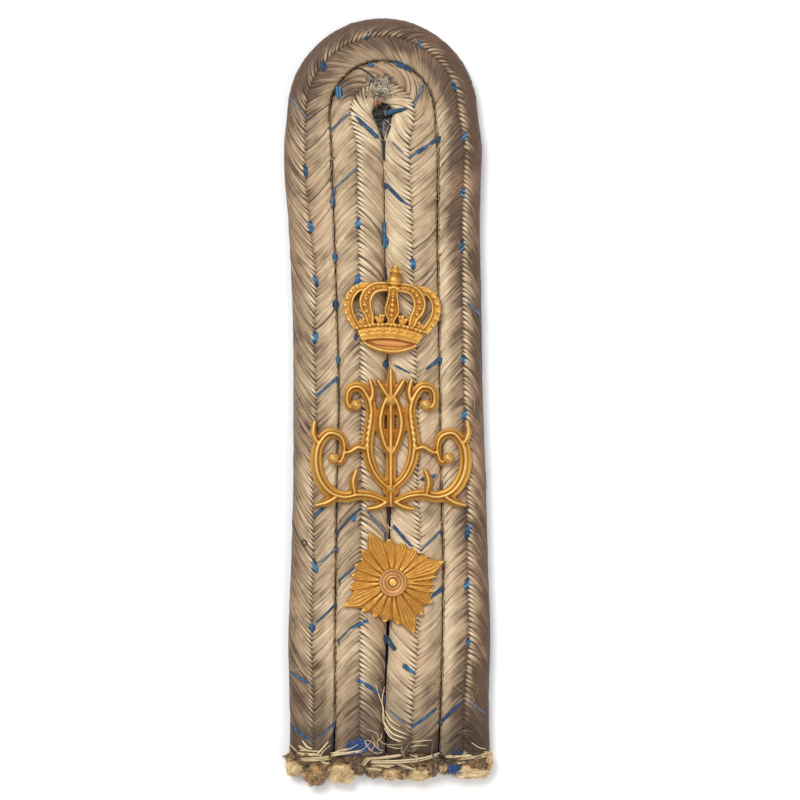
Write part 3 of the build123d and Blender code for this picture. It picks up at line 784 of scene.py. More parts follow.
        # painted shade where each cord's surface falls away at its edges, into a seam or off the board
        wall = rise(out, 0.84, 0.1)
        tone -= 0.12 * rise(-y, 40, 8) * (1 - np.clip(teeth * above, 0, 1)) + 0.5 * wall
        # painted shade in the crevices between strands and between the fibres of each strand, deepest beside
        # the teeth and weaker away from the middle line
        groove = np.array([0.55, 0.28, 0.0, 0.42, 0.0, 0.42, 0.0, 0.28, 0.55])
        depth = np.where(above, 0.18 + 0.38 * bold * teeth, 0.15 + 0.14 * hump(over, 0, 0.6))
        depth = depth * np.interp(over, (0.7, 1.5), (1.0, 0.40)) * (0.35 + 1.1 * seat) * (1 - 0.35 * dusk)
        tone = tone[..., None] - depth[..., None] * groove
        soak = 0.85 + 0.15 * right if outer else 0.88 - 0.28 * right
        end = rise(-y + 1.5 * np.sin(x * 1.1) + 4.0 * (shade - 0.5), 46.5, 9.0) * soak
        # the dark brown also goes on those falling edges, as painted shade
        end = np.maximum(end * (1 - (0.58 - 0.3 * right) * rise(out, 0.25, 0.35)), 0.45 * wall)
        soil = 0.5 * hump(x, -2.9, 1.1) * hump(y, 39.7, 1.3)
        if outer:
            # darker towards the outer cord's outer edge: partly real wear and grime, partly painted shade,
            # stronger on the right leg whose outer edge is turned from the light
            edge_wear_and_shade = np.clip(out * 1.7 - 0.35, 0, 1) * (0.55 + 0.45 * right)
            soil += ~inward * edge_wear_and_shade * (1 - 0.6 * rise(-y, 36, 8) * (1 - right)) + 0.35 * head
        fibre = (tubes.spread(over * 0.32), tubes.across(widths) / MM * 3.6, tubes.spread(seat * 90.0))
        return {"fibre": np.stack(fibre, 1), "tone": tone.reshape(-1), "stain": tubes.spread(end),
                "soil": tubes.spread(soil)}

    def core(self, path: CordPath, inset: float = 0.16) -> tuple[Array, list[tuple[int, ...]]]:
        """Closed padded core just inside the strands.

        Args:
            path: the cord's path.
            inset: how far it stays inside the surface, in millimetres.

        Returns:
            Its vertices and faces.
        """
        shares = np.array([0.0, 0.16, 0.31, 0.44, 0.55, 0.65, 0.75, 0.87, 1.0])
        s = np.linspace(0, path.length, int(path.length / (1.2 * MM)))
        rings = []
        for side in (-1, 1):
            o = np.broadcast_to(shares * path.reach[side], (len(s), len(shares)))
            spot = np.broadcast_to(s[:, None], o.shape)
            points = path.at(spot, o, side) - path.normal(spot, o, side) * inset * MM
            rings.append(points if side < 0 else points[:, 1:])
        ring = np.concatenate([rings[0][:, ::-1], rings[1]], axis=1)
        return ring.reshape(-1, 3), tube_faces(1, len(s), ring.shape[1])

    def build(self, material: Material) -> Piece:
        """Makes the cord.

        Args:
            material: the braid's finish.

        Returns:
            The object, which replaces the cord's plain solid.
        """
        path = CordPath(self.board, self.layer)
        tubes, values = self.strands(path)
        core, faces = self.core(path)
        shift = len(core)
        vertices = np.concatenate([core, tubes.vertices])
        faces = faces + [tuple(i + shift for i in face) for face in tubes.faces()]
        piece = new_object("braid_" + self.layer.value, vertices, faces, material)
        for name, value in values.items():
            # the core shows only in the gaps between the strands: it gets the darkest colour, as painted
            # shade there
            below = np.full((shift, *value.shape[1:]), 0.6 if name == "stain" else 0.0)
            set_attribute(piece, name, np.concatenate([below, value]))
        return settle_piece(piece, "braid", self.layer.value + "_cord")


# Cloth


@dataclass
class Cloth:
    """The wool underlay, one sheet cut a little smaller than the board, with its buttonhole and pin holes."""

    board: Board
    margin: float = 0.7
    cutback: float = 0.85
    pins: tuple[Pair, ...] = (
        (0.50, 69.88), (0.99, 76.94), (0.55, 44.92), (0.55, 57.22), (0.9, 28.48))
    pin_radius: float = 0.6
    edge_radius: float = 0.18
    rise: float = 0.07

    def outline(self) -> Array:
        """The cloth's outer edge, in the drawing's millimetres."""
        y, left, *_, right = self.board.legs()
        head = self.board.head(self.board.head_radius - self.margin, 33)
        rows = np.concatenate([np.stack([left + self.margin, y], 1), head,
                               np.stack([right - self.margin, y], 1)[::-1]])
        return smooth_line(np.hstack([rows, np.zeros((len(rows), 1))]), 260)[:, :2]

    def slot(self, segments: int = 40) -> Array:
        """The buttonhole's edge, a teardrop round two circles."""
        b = self.board
        big, small = b.hole_radius + self.cutback, b.hole_foot_radius + self.cutback
        top = np.array([b.head_shift, b.head_y])
        foot = np.array([-0.086 * b.leg_seam, b.head_y - b.hole_tail + b.hole_foot_radius])
        run = foot - top
        turn, open_angle = math.atan2(run[1], run[0]), math.acos((big - small) / float(np.hypot(*run)))
        wide = np.linspace(turn + open_angle, turn + 2 * math.pi - open_angle, segments)
        tight = np.linspace(turn - open_angle, turn + open_angle, segments // 2)
        ring = [top + big * np.array([math.cos(a), math.sin(a)]) for a in wide]
        return np.array(ring + [foot + small * np.array([math.cos(a), math.sin(a)]) for a in tight])

    def build(self, material: Material) -> Piece:
        """Makes the cloth, which replaces its plain solid."""
        bm = bmesh.new()
        rings = [self.outline(), self.slot()]
        for x, y in self.pins:
            turns = np.linspace(0, 2 * math.pi, 17)[:-1]
            rings.append(self.pin_radius * np.stack([np.cos(turns), np.sin(turns)], 1) + (x, y))
        edges = []
        for ring in rings:
            verts = [bm.verts.new((*self.board.mm(x, y), self.rise * MM)) for x, y in ring]
            edges += [bm.edges.new(pair) for pair in zip(verts, verts[1:] + verts[:1])]
        bmesh.ops.triangle_fill(bm, use_beauty=True, use_dissolve=False, edges=edges)
        made = bmesh.ops.extrude_face_region(bm, geom=bm.faces[:])["geom"]
        top = [g for g in made if isinstance(g, bmesh.types.BMVert)]
        bmesh.ops.translate(bm, verts=top, vec=(0, 0, (self.board.cloth_thickness - self.rise) * MM))
        bmesh.ops.recalc_face_normals(bm, faces=bm.faces)
        sharp = [e for e in bm.edges if len(e.link_faces) == 2 and e.calc_face_angle() > 1.2
                 and abs(e.verts[0].co.z - e.verts[1].co.z) < 1e-6]
        bmesh.ops.bevel(bm, geom=sharp, offset=self.edge_radius * MM, segments=2, profile=0.5,
                        affect="EDGES", material=-1)
        mesh = bpy.data.meshes.new("wool_underlay")
        bm.to_mesh(mesh)
        bm.free()
        mesh.materials.append(material)
        piece = linked("wool_underlay", mesh)
        return settle_piece(piece, "wool", "underlay")


# Threads


ROUND = np.array([(math.cos(math.radians(a)), math.sin(math.radians(a))) for a in (210, 138, 66, -6, -78)])


class Threads:
    """Loose threads and fibres, gathered to be joined in one mesh."""

    def __init__(self, stations: int) -> None:
        """Starts without threads, each to be of so many stations."""
        self.stations, self.rows = stations, []

    def add(self, points: Any, width: float, flat: float = 0.9, shade: float = 0.5, thin_ends: float = 0.5,
            up: Sequence[float] = (0.0, 0.0, 1.0), taper: float = 1.0) -> None:
        """Adds one thread.

        Args:
            points: places in millimetres, three to a row.
            width: full width in millimetres.
            flat: its thickness as a share of its width.
            shade: how light it is, kept from 0 to 1.
            thin_ends: width of its ends as a share.
            up: which way its broad side faces.
            taper: its width at the far end, as a share of that at the near one.
        """
        line = smooth_line(np.asarray(points, float), self.stations)
        ease = np.sin(np.pi * np.linspace(0.03, 0.97, self.stations)) ** 0.4
        widths = width / 2 * (thin_ends + (1 - thin_ends) * ease) * np.linspace(1, taper, self.stations)
        self.rows.append((line * MM, widths * MM, widths * flat * MM, np.clip(shade, 0, 1), np.asarray(up)))

    def build(self, name: str, material: Material, slot: str, *nodes: str) -> Piece:
        """Joins the threads in one piece."""
        lines, widths, heights, shades, ups = (np.stack(column) for column in zip(*self.rows))
        tubes = Tubes(lines, np.broadcast_to(ups[:, None, :], lines.shape), widths, heights, ROUND)
        piece = new_object(name, tubes.vertices, tubes.faces(), material)
        set_attribute(piece, "shade", tubes.spread(np.repeat(shades, self.stations)))
        return settle_piece(piece, slot, *nodes)


class Ground:
    """The cords' upper surface, to lay threads on."""

    def __init__(self, board: Board) -> None:
        """Makes the surface from both cords."""
        vertices: list[Any] = []
        faces: list[tuple[int, ...]] = []
        for layer in Layer:
            core, loops = BraidCord(board, layer).core(CordPath(board, layer), inset=0.0)
            faces += [tuple(i + len(vertices) for i in loop) for loop in loops]
            vertices += core.tolist()
        self.tree = BVHTree.FromPolygons(vertices, faces)

    def height(self, x: float, y: float) -> float:
        """Height of the surface under a place, in millimetres of the frame."""
        spot = self.tree.ray_cast(Vector((x * MM, y * MM, 0.02)), Vector((0, 0, -1)))[0]
        return spot.z / MM if spot else 1.0

    def bridged(self, x: float, y: float, reach: float = 0.45) -> float:
        """Height of something that lies over a seam: no lower than a little under what is beside it."""
        beside = max(self.height(x - reach, y), self.height(x + reach, y))
        return max(self.height(x, y), beside - 0.25)


@dataclass
class Stitches:
    """Running stitches under the cloth, one row below each cord's middle line, that hold the cords to it."""

    board: Board
    length: float = 2.3
    gap: float = 1.5
    width: float = 0.34
    height: float = 0.055
    margin: float = 3.0

    def build(self, material: Material) -> None:
        """Makes the stitches."""
        rng = np.random.default_rng(91)
        threads = Threads(8)
        for layer in Layer:
            path = CordPath(self.board, layer)
            reach = path.length / MM - self.margin - self.length
            for start in np.arange(self.margin, reach, self.length + self.gap):
                s = (start + np.linspace(0, self.length, 5) + rng.normal(0, 0.15)) * MM
                places = path.at(s, np.zeros(5), 1) / MM
                places[:, :2] += rng.normal(0, 0.08, 2)
                places[:, 2] = self.height
                threads.add(places, self.width, 0.3, rng.uniform(0.3, 1.0))
        threads.build("back_stitches", material, "cotton")


# each row is the two ends and the width of a blue thread in the braid, then, where they differ, its taper and
# how far to both sides it looks for what holds it up
FLECKS: Table = (
    (-8.3, 3.8, -11.9, 0.7, 0.55, 0.8), (-9.1, -16.6, -12.2, -19, 0.4, 1.5),
    (-8.5, -33.6, -12.1, -36.9, 0.42, 0.75), (-16.1, -44.8, -12.3, -47, 0.42, 1.5),
    (-16, -53.6, -12.4, -56.4, 0.5, 1.2), (-6, 47.8, -1.5, 43.5, 0.55, 1.5),
    (-8.7, 35.4, -8.9, 32.6, 0.3, 0.6), (-8.2, -21.7, -4.2, -17.7, 0.36, 0.7),
    (-5.4, -27.5, -7.9, -29.7, 0.42, 0.8), (-6.2, -37.6, -3.1, -36.3, 0.4, 2.8),
    (-5, -46.1, -0.5, -49.1, 0.85, 0.55), (-0.5, 29.6, -0.5, 26.5, 0.6),
    (-0.3, -39.1, 1.4, -41.2, 0.95, 0.8), (4.2, 48.5, -0.4, 47.6, 0.36, 3.2, 1.5),
    (3.6, 40.1, 7.9, 43.1, 0.34, 1.2), (4.7, 40.9, 6.7, 42.2, 0.8, 0.8), (7.1, 42.5, 8.7, 43.5, 0.45, 1.8),
    (-0.4, 35.8, 4.2, 31.6, 0.78, 0.6), (1.2, 6, 4.3, 4.3, 0.4), (6.4, 5.2, 8.9, 6.9, 0.4, 2),
    (5.5, -13.1, 8.1, -12.3, 0.6), (1, -20.6, 4.3, -24.2, 0.6, 0.9), (5.4, -24.9, 9, -21.6, 0.3, 1.4),
    (7.3, -32.5, 9.2, -30.9, 0.45, 1.7), (2.6, -43.6, 4.6, -44.9, 0.85, 0.9),
    (3.8, -54, 8.2, -50.8, 0.55, 0.8), (9, -53, 12.9, -49.5, 0.75, 0.55), (1, 56.1, 4, 54.7, 1.05, 0.8),
    (-3.1, 55.8, -2.2, 55.4, 0.7))
FADED_FLECKS: Table = (
    (-16, 50.2, -13.2, 46.7, 0.42), (-8.2, -24.4, -11.3, -26.9, 0.42, 0.8), (-11.8, -56, -8.8, -53.3, 0.42),
    (-9.4, 44.7, -6, 47.8, 0.42), (-4.4, 39.1, -8.6, 35.2, 0.42, 0.8), (-3.9, -17.6, -0.3, -22, 0.42, 1.1),
    (-6, -37.5, -8, -39.6, 0.28, 1.5), (6, 52.3, 4.2, 48.3, 0.5, 0.8), (0.5, 43, 3.6, 40.1, 0.48),
    (0.4, -51.1, 3.9, -54.1, 0.4, 1.1), (12.3, 16.7, 15.4, 14.3, 0.42, 1.4),
    (12.9, -49.3, 16.4, -51.8, 0.38))
# each row is a knot's place and size, and whether it stands upright
KNOTS: Table = (
    (-13.6, 38.1, 1.16), (-12.8, 28.8, 1.16), (-11.9, 19.9, 0.99), (-12, 10.5, 1.1), (-12.3, -8.8, 0.99),
    (-11.9, -27.3, 1.2), (-12.4, -37.5, 1.05, True), (-9, 32.9, 0.83), (-8.6, 23.8, 0.9), (-8.5, 16, 1.05),
    (-8.1, 6.8, 0.7), (-8, 51, 1.3), (-4.6, 29.5, 1.16), (-0.3, 26.3, 1.16), (-4.8, 20, 1.2),
    (-5.2, 10.6, 0.6), (-0.3, 6.1, 0.83), (4.1, 22.7, 1.16), (-3.2, 60.4, 0.75), (-5.5, -19.3, 0.75),
    (5.5, 58.9, 0.83), (-10.6, 55.5, 1.1), (11.2, 52.1, 0.99), (12.9, 43.7, 0.99), (12.7, 34.3, 0.99),
    (12.6, 25.8, 1.16), (12.7, 6.9, 0.9), (12.9, -2.2, 0.99), (13.5, -21.5, 1.35), (13.2, -30.3, 0.99),
    (13.5, -39.8, 0.8))


@dataclass
class BlueThreads:
    """The blue threads that show between the strands of the braid."""

    ground: Ground
    spines: tuple[float, ...] = (-12.3, -4.4, 4.3, 12.8)
    seams: tuple[float, ...] = (-8.4, -0.2, 8.8)

    def bend(self, x: Array) -> Array:
        """How far a strand at x has run along the cord."""
        out = np.min(np.abs(np.asarray(x)[:, None] - np.array(self.spines)), axis=1)
        return 0.5 * out + 0.11 * out**2

    def line(self, rng: Random, threads: Threads, places: Sequence[float], width: float, taper: float = 1.0,
             reach: float = 0.45) -> None:
        """Adds one fleck: a flat thread between two dark edges, fine fibres on it, and a wedge at a seam."""
        start, end = np.array(places[:2]), np.array(places[2:])
        run = (end - start) / np.hypot(*(end - start))
        aside = np.array([-run[1], run[0]]) * (1 if run[0] > 0 else -1)
        t = np.linspace(0, 1, 9)
        x, y = (start[i] + (end[i] - start[i]) * t for i in (0, 1))
        passed = self.bend(x)
        whole = passed[-1] - passed[0]
        if abs(whole) > 0.8 and start[1] < 38:
            y = 0.72 * y + 0.28 * (start[1] + (end[1] - start[1]) * (passed - passed[0]) / whole)
        size = width * (1 + (taper - 1) * t)
        dive = (0.7 if reach > 1 else 0.12) * np.abs(2 * t - 1) ** 5
        tint = rng.uniform(0.2, 0.65)
        for off, share, lift, shade in (
                (-0.36, 0.34, -0.05, 0.0), (0.36, 0.30, -0.05, 0.1), (0.0, 0.80, 0.0, tint),
                (-0.17, 0.26, 0.05, tint + 0.2), (0.06, 0.2, 0.07, tint + 0.1),
                (0.22, 0.24, 0.04, tint - 0.15)):
            shift = (off + rng.normal(0, 0.03, 9)) * size
            px, py = x + aside[0] * shift, y + aside[1] * shift
            z = [self.ground.bridged(a, b, reach) + 0.08 + lift - d for a, b, d in zip(px, py, dive)]
            threads.add(np.stack([px, py, z], 1), width * share, 0.45, shade, 0.3, taper=taper)
        for spot, wide in ((start, width), (end, width * taper)):
            if min(abs(spot[0] - s) for s in self.seams) < 0.6 and abs(run[0]) > 0.2:
                self.wedge(spot, wide, tint, rng, threads)

    def wedge(self, spot: Array, wide: float, tint: float, rng: Random, threads: Threads) -> None:
        """Adds the bit of a fleck that runs down a seam and narrows."""
        for k in range(3):
            x = spot[0] + (k - 1) * 0.10
            y = spot[1] + np.linspace(0.30, -0.65 - 0.35 * rng.random(), 5)
            rows = [(x + 0.04 * math.sin(b), b, self.ground.bridged(x, b) + 0.05) for b in y]
            threads.add(rows, wide * 0.55, 0.6, tint - 0.35 * (k != 1), 0.4, taper=0.3)

    def knot(self, rng: Random, threads: Threads, across: float, up: float, size: float,
             upright: bool = False) -> None:
        """Adds one knot: short slanting threads one above the other, or upright ones in a seam."""
        upright = upright or min(abs(across - s) for s in self.seams) < 0.6
        size, tint = size * (1.4 if upright else 1.55), rng.uniform(0.3, 0.7)
        lean = math.pi / 2 + rng.normal(0, 0.06) if upright else rng.choice((-1, 1)) * rng.uniform(0.45, 0.8)
        run = np.array([math.cos(lean), math.sin(lean)])
        stack = np.array([1.0, 0.0]) if upright else np.array([0.12 * rng.normal(), 1.0])
        count = 5 if upright else 6
        for k in range(count):
            share = (k - (count - 1) / 2) / (count - 1)
            length = size * (1.35 if upright else 1.0) * (1.04 - 1.9 * share**2) * rng.uniform(0.92, 1.06)
            t = np.linspace(-0.5, 0.5, 7)
            x, y = (c + run[i] * length * t + stack[i] * share * size * (0.55 if upright else 0.86)
                    for i, c in enumerate((across, up)))
            z = [self.ground.bridged(a, b) + 0.10 - 0.24 * abs(2 * c) ** 3 for a, b, c in zip(x, y, t)]
            # the outermost threads are darker, as painted shade at the knot's rim
            shade = tint + rng.normal(0, 0.2) - (0.55 if k in (0, count - 1) else 0.0)
            threads.add(np.stack([x, y, z], 1), size * (0.19 if upright else 0.23), 0.6, shade, 0.45)

    def build(self, material: Material, faded: Material) -> None:
        """Makes the blue threads and the ones that have faded."""
        rng = np.random.default_rng(5)
        for name, finish, flecks, knots in (("blue_threads", material, FLECKS, KNOTS),
                                            ("faded_blue_threads", faded, FADED_FLECKS, ())):
            threads = Threads(12)
            for row in flecks:
                self.line(rng, threads, row[:4], *row[4:])
            for row in knots:
                self.knot(rng, threads, *row)
            threads.build(name, finish, "braid")


# each row is a thread's width, its height above the surface, and the x and y of its places
PALE: Table = (
    (0.16, 0.12, -0.3, 46.7, 0.3, 46.1, 0.9, 45.4, 1.4, 45.1),
    (0.13, 0.15, -1.9, -46.9, -1.3, -48.8, -0.7, -50.5, -0.4, -52.6),
    (0.12, 0.15, -0.4, -47.3, -0.8, -49, -0.7, -51, -0.3, -53.5, 0.2, -55),
    (0.2, 0.2, 0.1, -20.6, 0.5, -21.1, 0.9, -21))
# the first row and the small loop are dark threads; the other rows lie in the middle seam and along the
# buttonhole's foot and right edge as painted shade
DARK: Table = (
    (0.38, 0.08, -5.8, 54.7, -4.6, 55, -3.2, 54.3, -1.9, 53.2),
    (0.44, -0.02, 0.36, 46.9, 0.5, 46.2, 0.42, 45.4, 0.18, 44.5, -0.1, 43.6),
    (0.34, -0.25, -1.4, 43.4, -0.7, 43, 0.1, 42.9), (0.3, -0.3, -1.2, 42.9, -0.6, 43.3, 0.2, 43.3),
    (0.55, -0.05, -0.62, 43.2, -0.58, 42, -0.5, 40.8, -0.45, 39.8),
    (0.4, -0.05, -0.75, 43.1, -0.66, 42.2, -0.55, 41.4), (0.38, -0.05, -0.3, 43, -0.42, 42, -0.45, 41),
    (0.55, -0.05, 0.1, -17.6, 0.18, -18.8, 0.2, -20.2), (0.45, -0.05, 0, -7, 0.25, -8.4, 0.15, -9.8),
    (0.4, -0.05, -0.25, 22.2, -0.2, 20.4, -0.3, 18.6),
    (0.2, 0.1, -14.3, -23.2, -13.7, -23.9, -13.2, -23.4, -13.8, -22.9, -14.1, -23.8),
    (0.22, 0, -0.5, -8.6, -0.1, -9.8, 0, -11.2))


@dataclass
class StrayThreads:
    """Hairs that lie loose on the braid, a few dark and pale threads of the mending, and dark strips that
    paint the shade in the middle seam and round the buttonhole.
    """

    ground: Ground
    hairs: int = 110

    def laid(self, rows: Table, seed: int, light: Pair) -> Threads:
        """Lays the threads of a table on the surface, each with a thinner one beside it."""
        rng, threads = np.random.default_rng(seed), Threads(14)
        for width, height, *flat in rows:
            places = list(zip(flat[::2], flat[1::2]))
            for k in range(2):
                drift = rng.normal(0, 0.05 if k else 0.0, (len(places), 2))
                points = [(x + dx, y + dy, self.ground.bridged(x, y) + height)
                          for (x, y), (dx, dy) in zip(places, drift)]
                threads.add(points, width * (0.5 if k else 1.0), 0.8, rng.uniform(*light))
        return threads

    def build(self, cream: Material, brown: Material) -> None:
        """Makes the threads."""
        rng = np.random.default_rng(71)
        threads = self.laid(PALE, 72, (0.7, 1.0))
        for _ in range(self.hairs):
            x, y = rng.uniform(-15, 15.5), rng.uniform(-55, 46)
            heading, bend = rng.choice((0.7, 2.4, 1.2, 1.9)) + rng.normal(0, 0.35), rng.normal(0, 0.16)
            rows = []
            for _ in range(6):
                rows.append((x, y, self.ground.bridged(x, y) + 0.10 + abs(rng.normal(0, 0.04))))
                heading += bend
                x, y = x + math.cos(heading) * 0.5, y + math.sin(heading) * 0.5
            if abs(x) < 16:
                threads.add(rows, rng.uniform(0.03, 0.055), 0.9, rng.uniform(0.0, 0.8))
        threads.build("stray_hairs", cream, "braid")
        # dark threads, and dark strips as painted shade in the seam and round the buttonhole
        self.laid(DARK, 73, (0.0, 0.3)).build("dark_threads", brown, "braid")


class Clump(NamedTuple):
    """A lump of wadding: its middle, half sizes and shade, in millimetres."""

    x: float
    y: float
    z: float
    half_x: float
    half_y: float
    half_z: float
    shade: float


@dataclass
class Wadding:
    """The cotton filling that stands out of the cut end, lumps with curly fibres on them."""

    leg: str
    rows: Table
    fibres: int = 520
    seed: int = 3

    def lump(self, bm: bmesh.types.BMesh, clump: Clump) -> None:
        """Adds one uneven lump."""
        made = bmesh.ops.create_icosphere(bm, subdivisions=4, radius=1.0)["verts"]
        for v in made:
            away = 1 + 0.42 * noise.noise(v.co * 1.9 + Vector((clump.x, clump.y, 0)))
            away += 0.30 * noise.noise(v.co * 4.3 + Vector((clump.y, clump.x, 3)))
            away += 0.14 * noise.noise(v.co * 9.0 + Vector((clump.x, 5, clump.y)))
            v.co = Vector((clump.x + v.co.x * away * clump.half_x, clump.y + v.co.y * away * clump.half_y,
                           max(clump.z + v.co.z * away * clump.half_z, 0.06 + 0.05 * (v.co.z + 1))))

    def build(self, material: Material) -> Piece:
        """Makes the tuft, which replaces the leg's filling solid."""
        rng = np.random.default_rng(self.seed)
        bm = bmesh.new()
        clumps = [Clump(*row) for row in self.rows]
        for clump in clumps:
            self.lump(bm, clump)
        mesh = remeshed(bm, "tuft", 0.13, 1)
        places = vertex_rows(mesh)
        table = np.array(self.rows)
        weight = np.exp(-3.0 * np.linalg.norm((places[:, None] - table[:, :3]) / table[:, 3:6], axis=2))
        shade = (weight * table[:, 6]).sum(1) / weight.sum(1)
        threads = Threads(9)
        for _ in range(self.fibres):
            clump = clumps[rng.integers(len(clumps))]
            way = unit(rng.normal(0, 1, 3) + np.array([0, -0.35, 0.7]))
            turn = unit(np.cross(way, rng.normal(0, 1, 3)))
            reach, curl = rng.uniform(0.3, 1.1), rng.uniform(-1.5, 1.5)
            loose, rows = 0.98 + 0.16 * rng.random() ** 2, []
            for t in np.linspace(-1, 1, 6):
                spin = unit(way + turn * t * reach * 0.8 + np.cross(way, turn) * curl * t * t * 0.4)
                rows.append(np.array(clump[:3]) + spin * np.array(clump[3:6])
                            * (loose + 0.10 * math.sin(5 * t + curl)))
            rows = np.array(rows)
            rows[:, 2] = np.maximum(rows[:, 2], 0.08)
            threads.add(rows, rng.uniform(0.04, 0.11), 0.9, clump.shade + rng.normal(0.02, 0.20))
        mesh.transform(Matrix.Scale(MM, 4))
        body = linked("tuft", mesh)
        mesh.materials.append(material)
        set_attribute(body, "shade", shade)
        piece = threads.build("wadding_" + self.leg, material, "cotton", "filling_" + self.leg)
        joined(piece, body)
        return piece


def joined(piece: Piece, *others: Piece) -> None:
    """Joins other objects of the same finish into a piece."""
    with bpy.context.temp_override(active_object=piece, object=piece, selected_objects=[piece, *others],
                                   selected_editable_objects=[piece, *others]):
        bpy.ops.object.join()


def remeshed(bm: bmesh.types.BMesh, name: str, voxel: float, rounds: int) -> Mesh:
    """Fuses overlapping closed shapes into one smooth mesh.

    Args:
        bm: the shapes, which are freed.
        name: the mesh's name.
        voxel: side of the remesh's cells.
        rounds: how often the mesh is smoothed.

    Returns:
        The mesh, shaded smooth.
    """
    rough = bpy.data.meshes.new(name + "_rough")
    bmesh.ops.recalc_face_normals(bm, faces=bm.faces)
    bm.to_mesh(rough)
    bm.free()
    holder = linked(name + "_rough", rough)
    remesh = holder.modifiers.new("fuse", "REMESH")
    remesh.mode, remesh.voxel_size = "VOXEL", voxel
    graph = bpy.context.evaluated_depsgraph_get()
    mesh = bpy.data.meshes.new_from_object(holder.evaluated_get(graph))
    bpy.data.objects.remove(holder)
    mesh.name = name
    soft = bmesh.new()
    soft.from_mesh(mesh)
    for _ in range(rounds):
        bmesh.ops.smooth_vert(soft, verts=soft.verts, factor=0.5, use_axis_x=True, use_axis_y=True,
                              use_axis_z=True)
    soft.to_mesh(mesh)
    soft.free()
    mesh.materials.clear()
    mesh.shade_smooth()
    return mesh


# each row is a thread's width, its height above the floor, and the x and y of its places
STRAWS: Table = (
    (0.62, 4, -14.9, -58.2, -12.9, -58.4, -11, -58.5), (0.5, 4.1, -14.2, -59.2, -12, -59.2, -9.6, -58.9),
    (0.32, 4.3, -11.7, -58.7, -10.7, -57.5, -9.7, -56.4),
    (0.24, 4.3, -11.2, -59, -10.3, -57.7, -9.4, -56.9), (0.4, 3.4, -11.9, -59.6, -10.5, -59.9, -9.1, -60.2),
    (0.52, 4.3, -9.3, -58.5, -6.9, -58.3, -4.3, -57.9), (0.26, 4.4, -9.1, -58.4, -8, -57.9, -6.5, -57.5),
    (0.45, 4, -3.6, -59.3, -0.9, -59.1, 2.2, -58.7), (0.36, 4.1, -4, -60.3, -2.7, -59.2, -1.4, -59.1),
    (0.42, 4.2, -2.7, -59.6, 2.6, -59.4, 6.2, -59, 8.6, -58.2),
    (0.46, 3.9, -1.8, -59.8, 1.7, -59.8, 4.4, -59.6, 7.9, -58.9),
    (0.34, 3.4, 0.8, -59.8, 3.1, -60.5, 4.6, -61.1), (0.75, 3.3, -2.3, -59.8, -0.9, -60.1, 0.6, -60.4),
    (0.55, 3.3, -1.4, -60.2, -0.2, -60.4, 1.2, -60.3),
    (0.4, 3.8, 9.6, -58.8, 11.7, -58.8, 13, -58.1, 14.4, -57.8),
    (0.52, 3.9, 10.4, -58.7, 12.6, -58.8, 14.6, -58.4), (0.6, 3.6, 11.7, -59.9, 14.1, -59.3, 16.7, -58.3),
    (0.32, 3.8, 12.4, -59.3, 14.8, -58.7, 16.7, -58.2), (0.28, 3.6, -15.9, -57, -15, -58, -14.2, -58.7),
    (0.3, 4.4, -14, -56.2, -13.2, -57.2, -12.4, -57.5), (0.26, 4.3, -14.6, -57, -13.6, -57.6, -12.6, -57.8),
    (0.3, 3.2, -3.6, -60.9, -1.4, -61, -1, -61.2))
BROWNS: Table = (
    (0.36, 3, -16.1, -57.2, -15.6, -59.3, -13.8, -61.1),
    (0.35, 3.1, -16, -58.4, -14.9, -59.5, -13.6, -60.4),
    (0.36, 2.8, -15.6, -58.7, -14.5, -60.2, -13.4, -61.3), (0.35, 3.6, 7.3, -58.9, 7.5, -60.4, 7.6, -62.2),
    (0.35, 3.4, 8.2, -58.7, 8, -60.9, 7.9, -61.8),
    (0.34, 4.5, 3.2, -55.8, 2.5, -56.8, 2.4, -57.8, 3, -58.9),
    (0.3, 4.6, 3.9, -56, 3.4, -57, 2.8, -57.9, 2.7, -58.8), (0.26, 4.7, 2.3, -56.3, 3, -56.2, 3.8, -56.6),
    (0.3, 4.5, 3.7, -55.1, 3.8, -56.4, 3.6, -57.8), (0.4, 4.2, 7.6, -56.6, 7.4, -58.2, 7.9, -59.6),
    (0.35, 3, -6.3, -59.5, -5.4, -60.4, -4.5, -61.8), (0.4, 3.2, -5.4, -58.7, -4.5, -60, -3.2, -60.9),
    (0.35, 3.3, -3.6, -58.7, -4.7, -60.2, -5.4, -61.1), (0.3, 3.1, -3.4, -60.4, -2, -61.5, -0.7, -61.8),
    (0.3, 3, 0.4, -61.5, 2.2, -61.9, 3.3, -62.1), (0.35, 3.2, 1.3, -60.6, 2.6, -61.3, 5.3, -60.9),
    (0.3, 3.2, 5.3, -61.3, 6.6, -60.6, 7.5, -59.3), (0.3, 3, 9.5, -59.8, 10.2, -60.6, 9.5, -61.9),
    (0.3, 3.1, 13.7, -59.8, 15, -60.6, 16.4, -60.9), (0.3, 3, 14.1, -59.3, 14.6, -60.2, 15.5, -60.4),
    (0.3, 3.6, -10.5, -61.3, -8.9, -59.8, -7.1, -58.9), (0.28, 3.2, -10.2, -61.8, -8.5, -59.3, -6.7, -59.3))
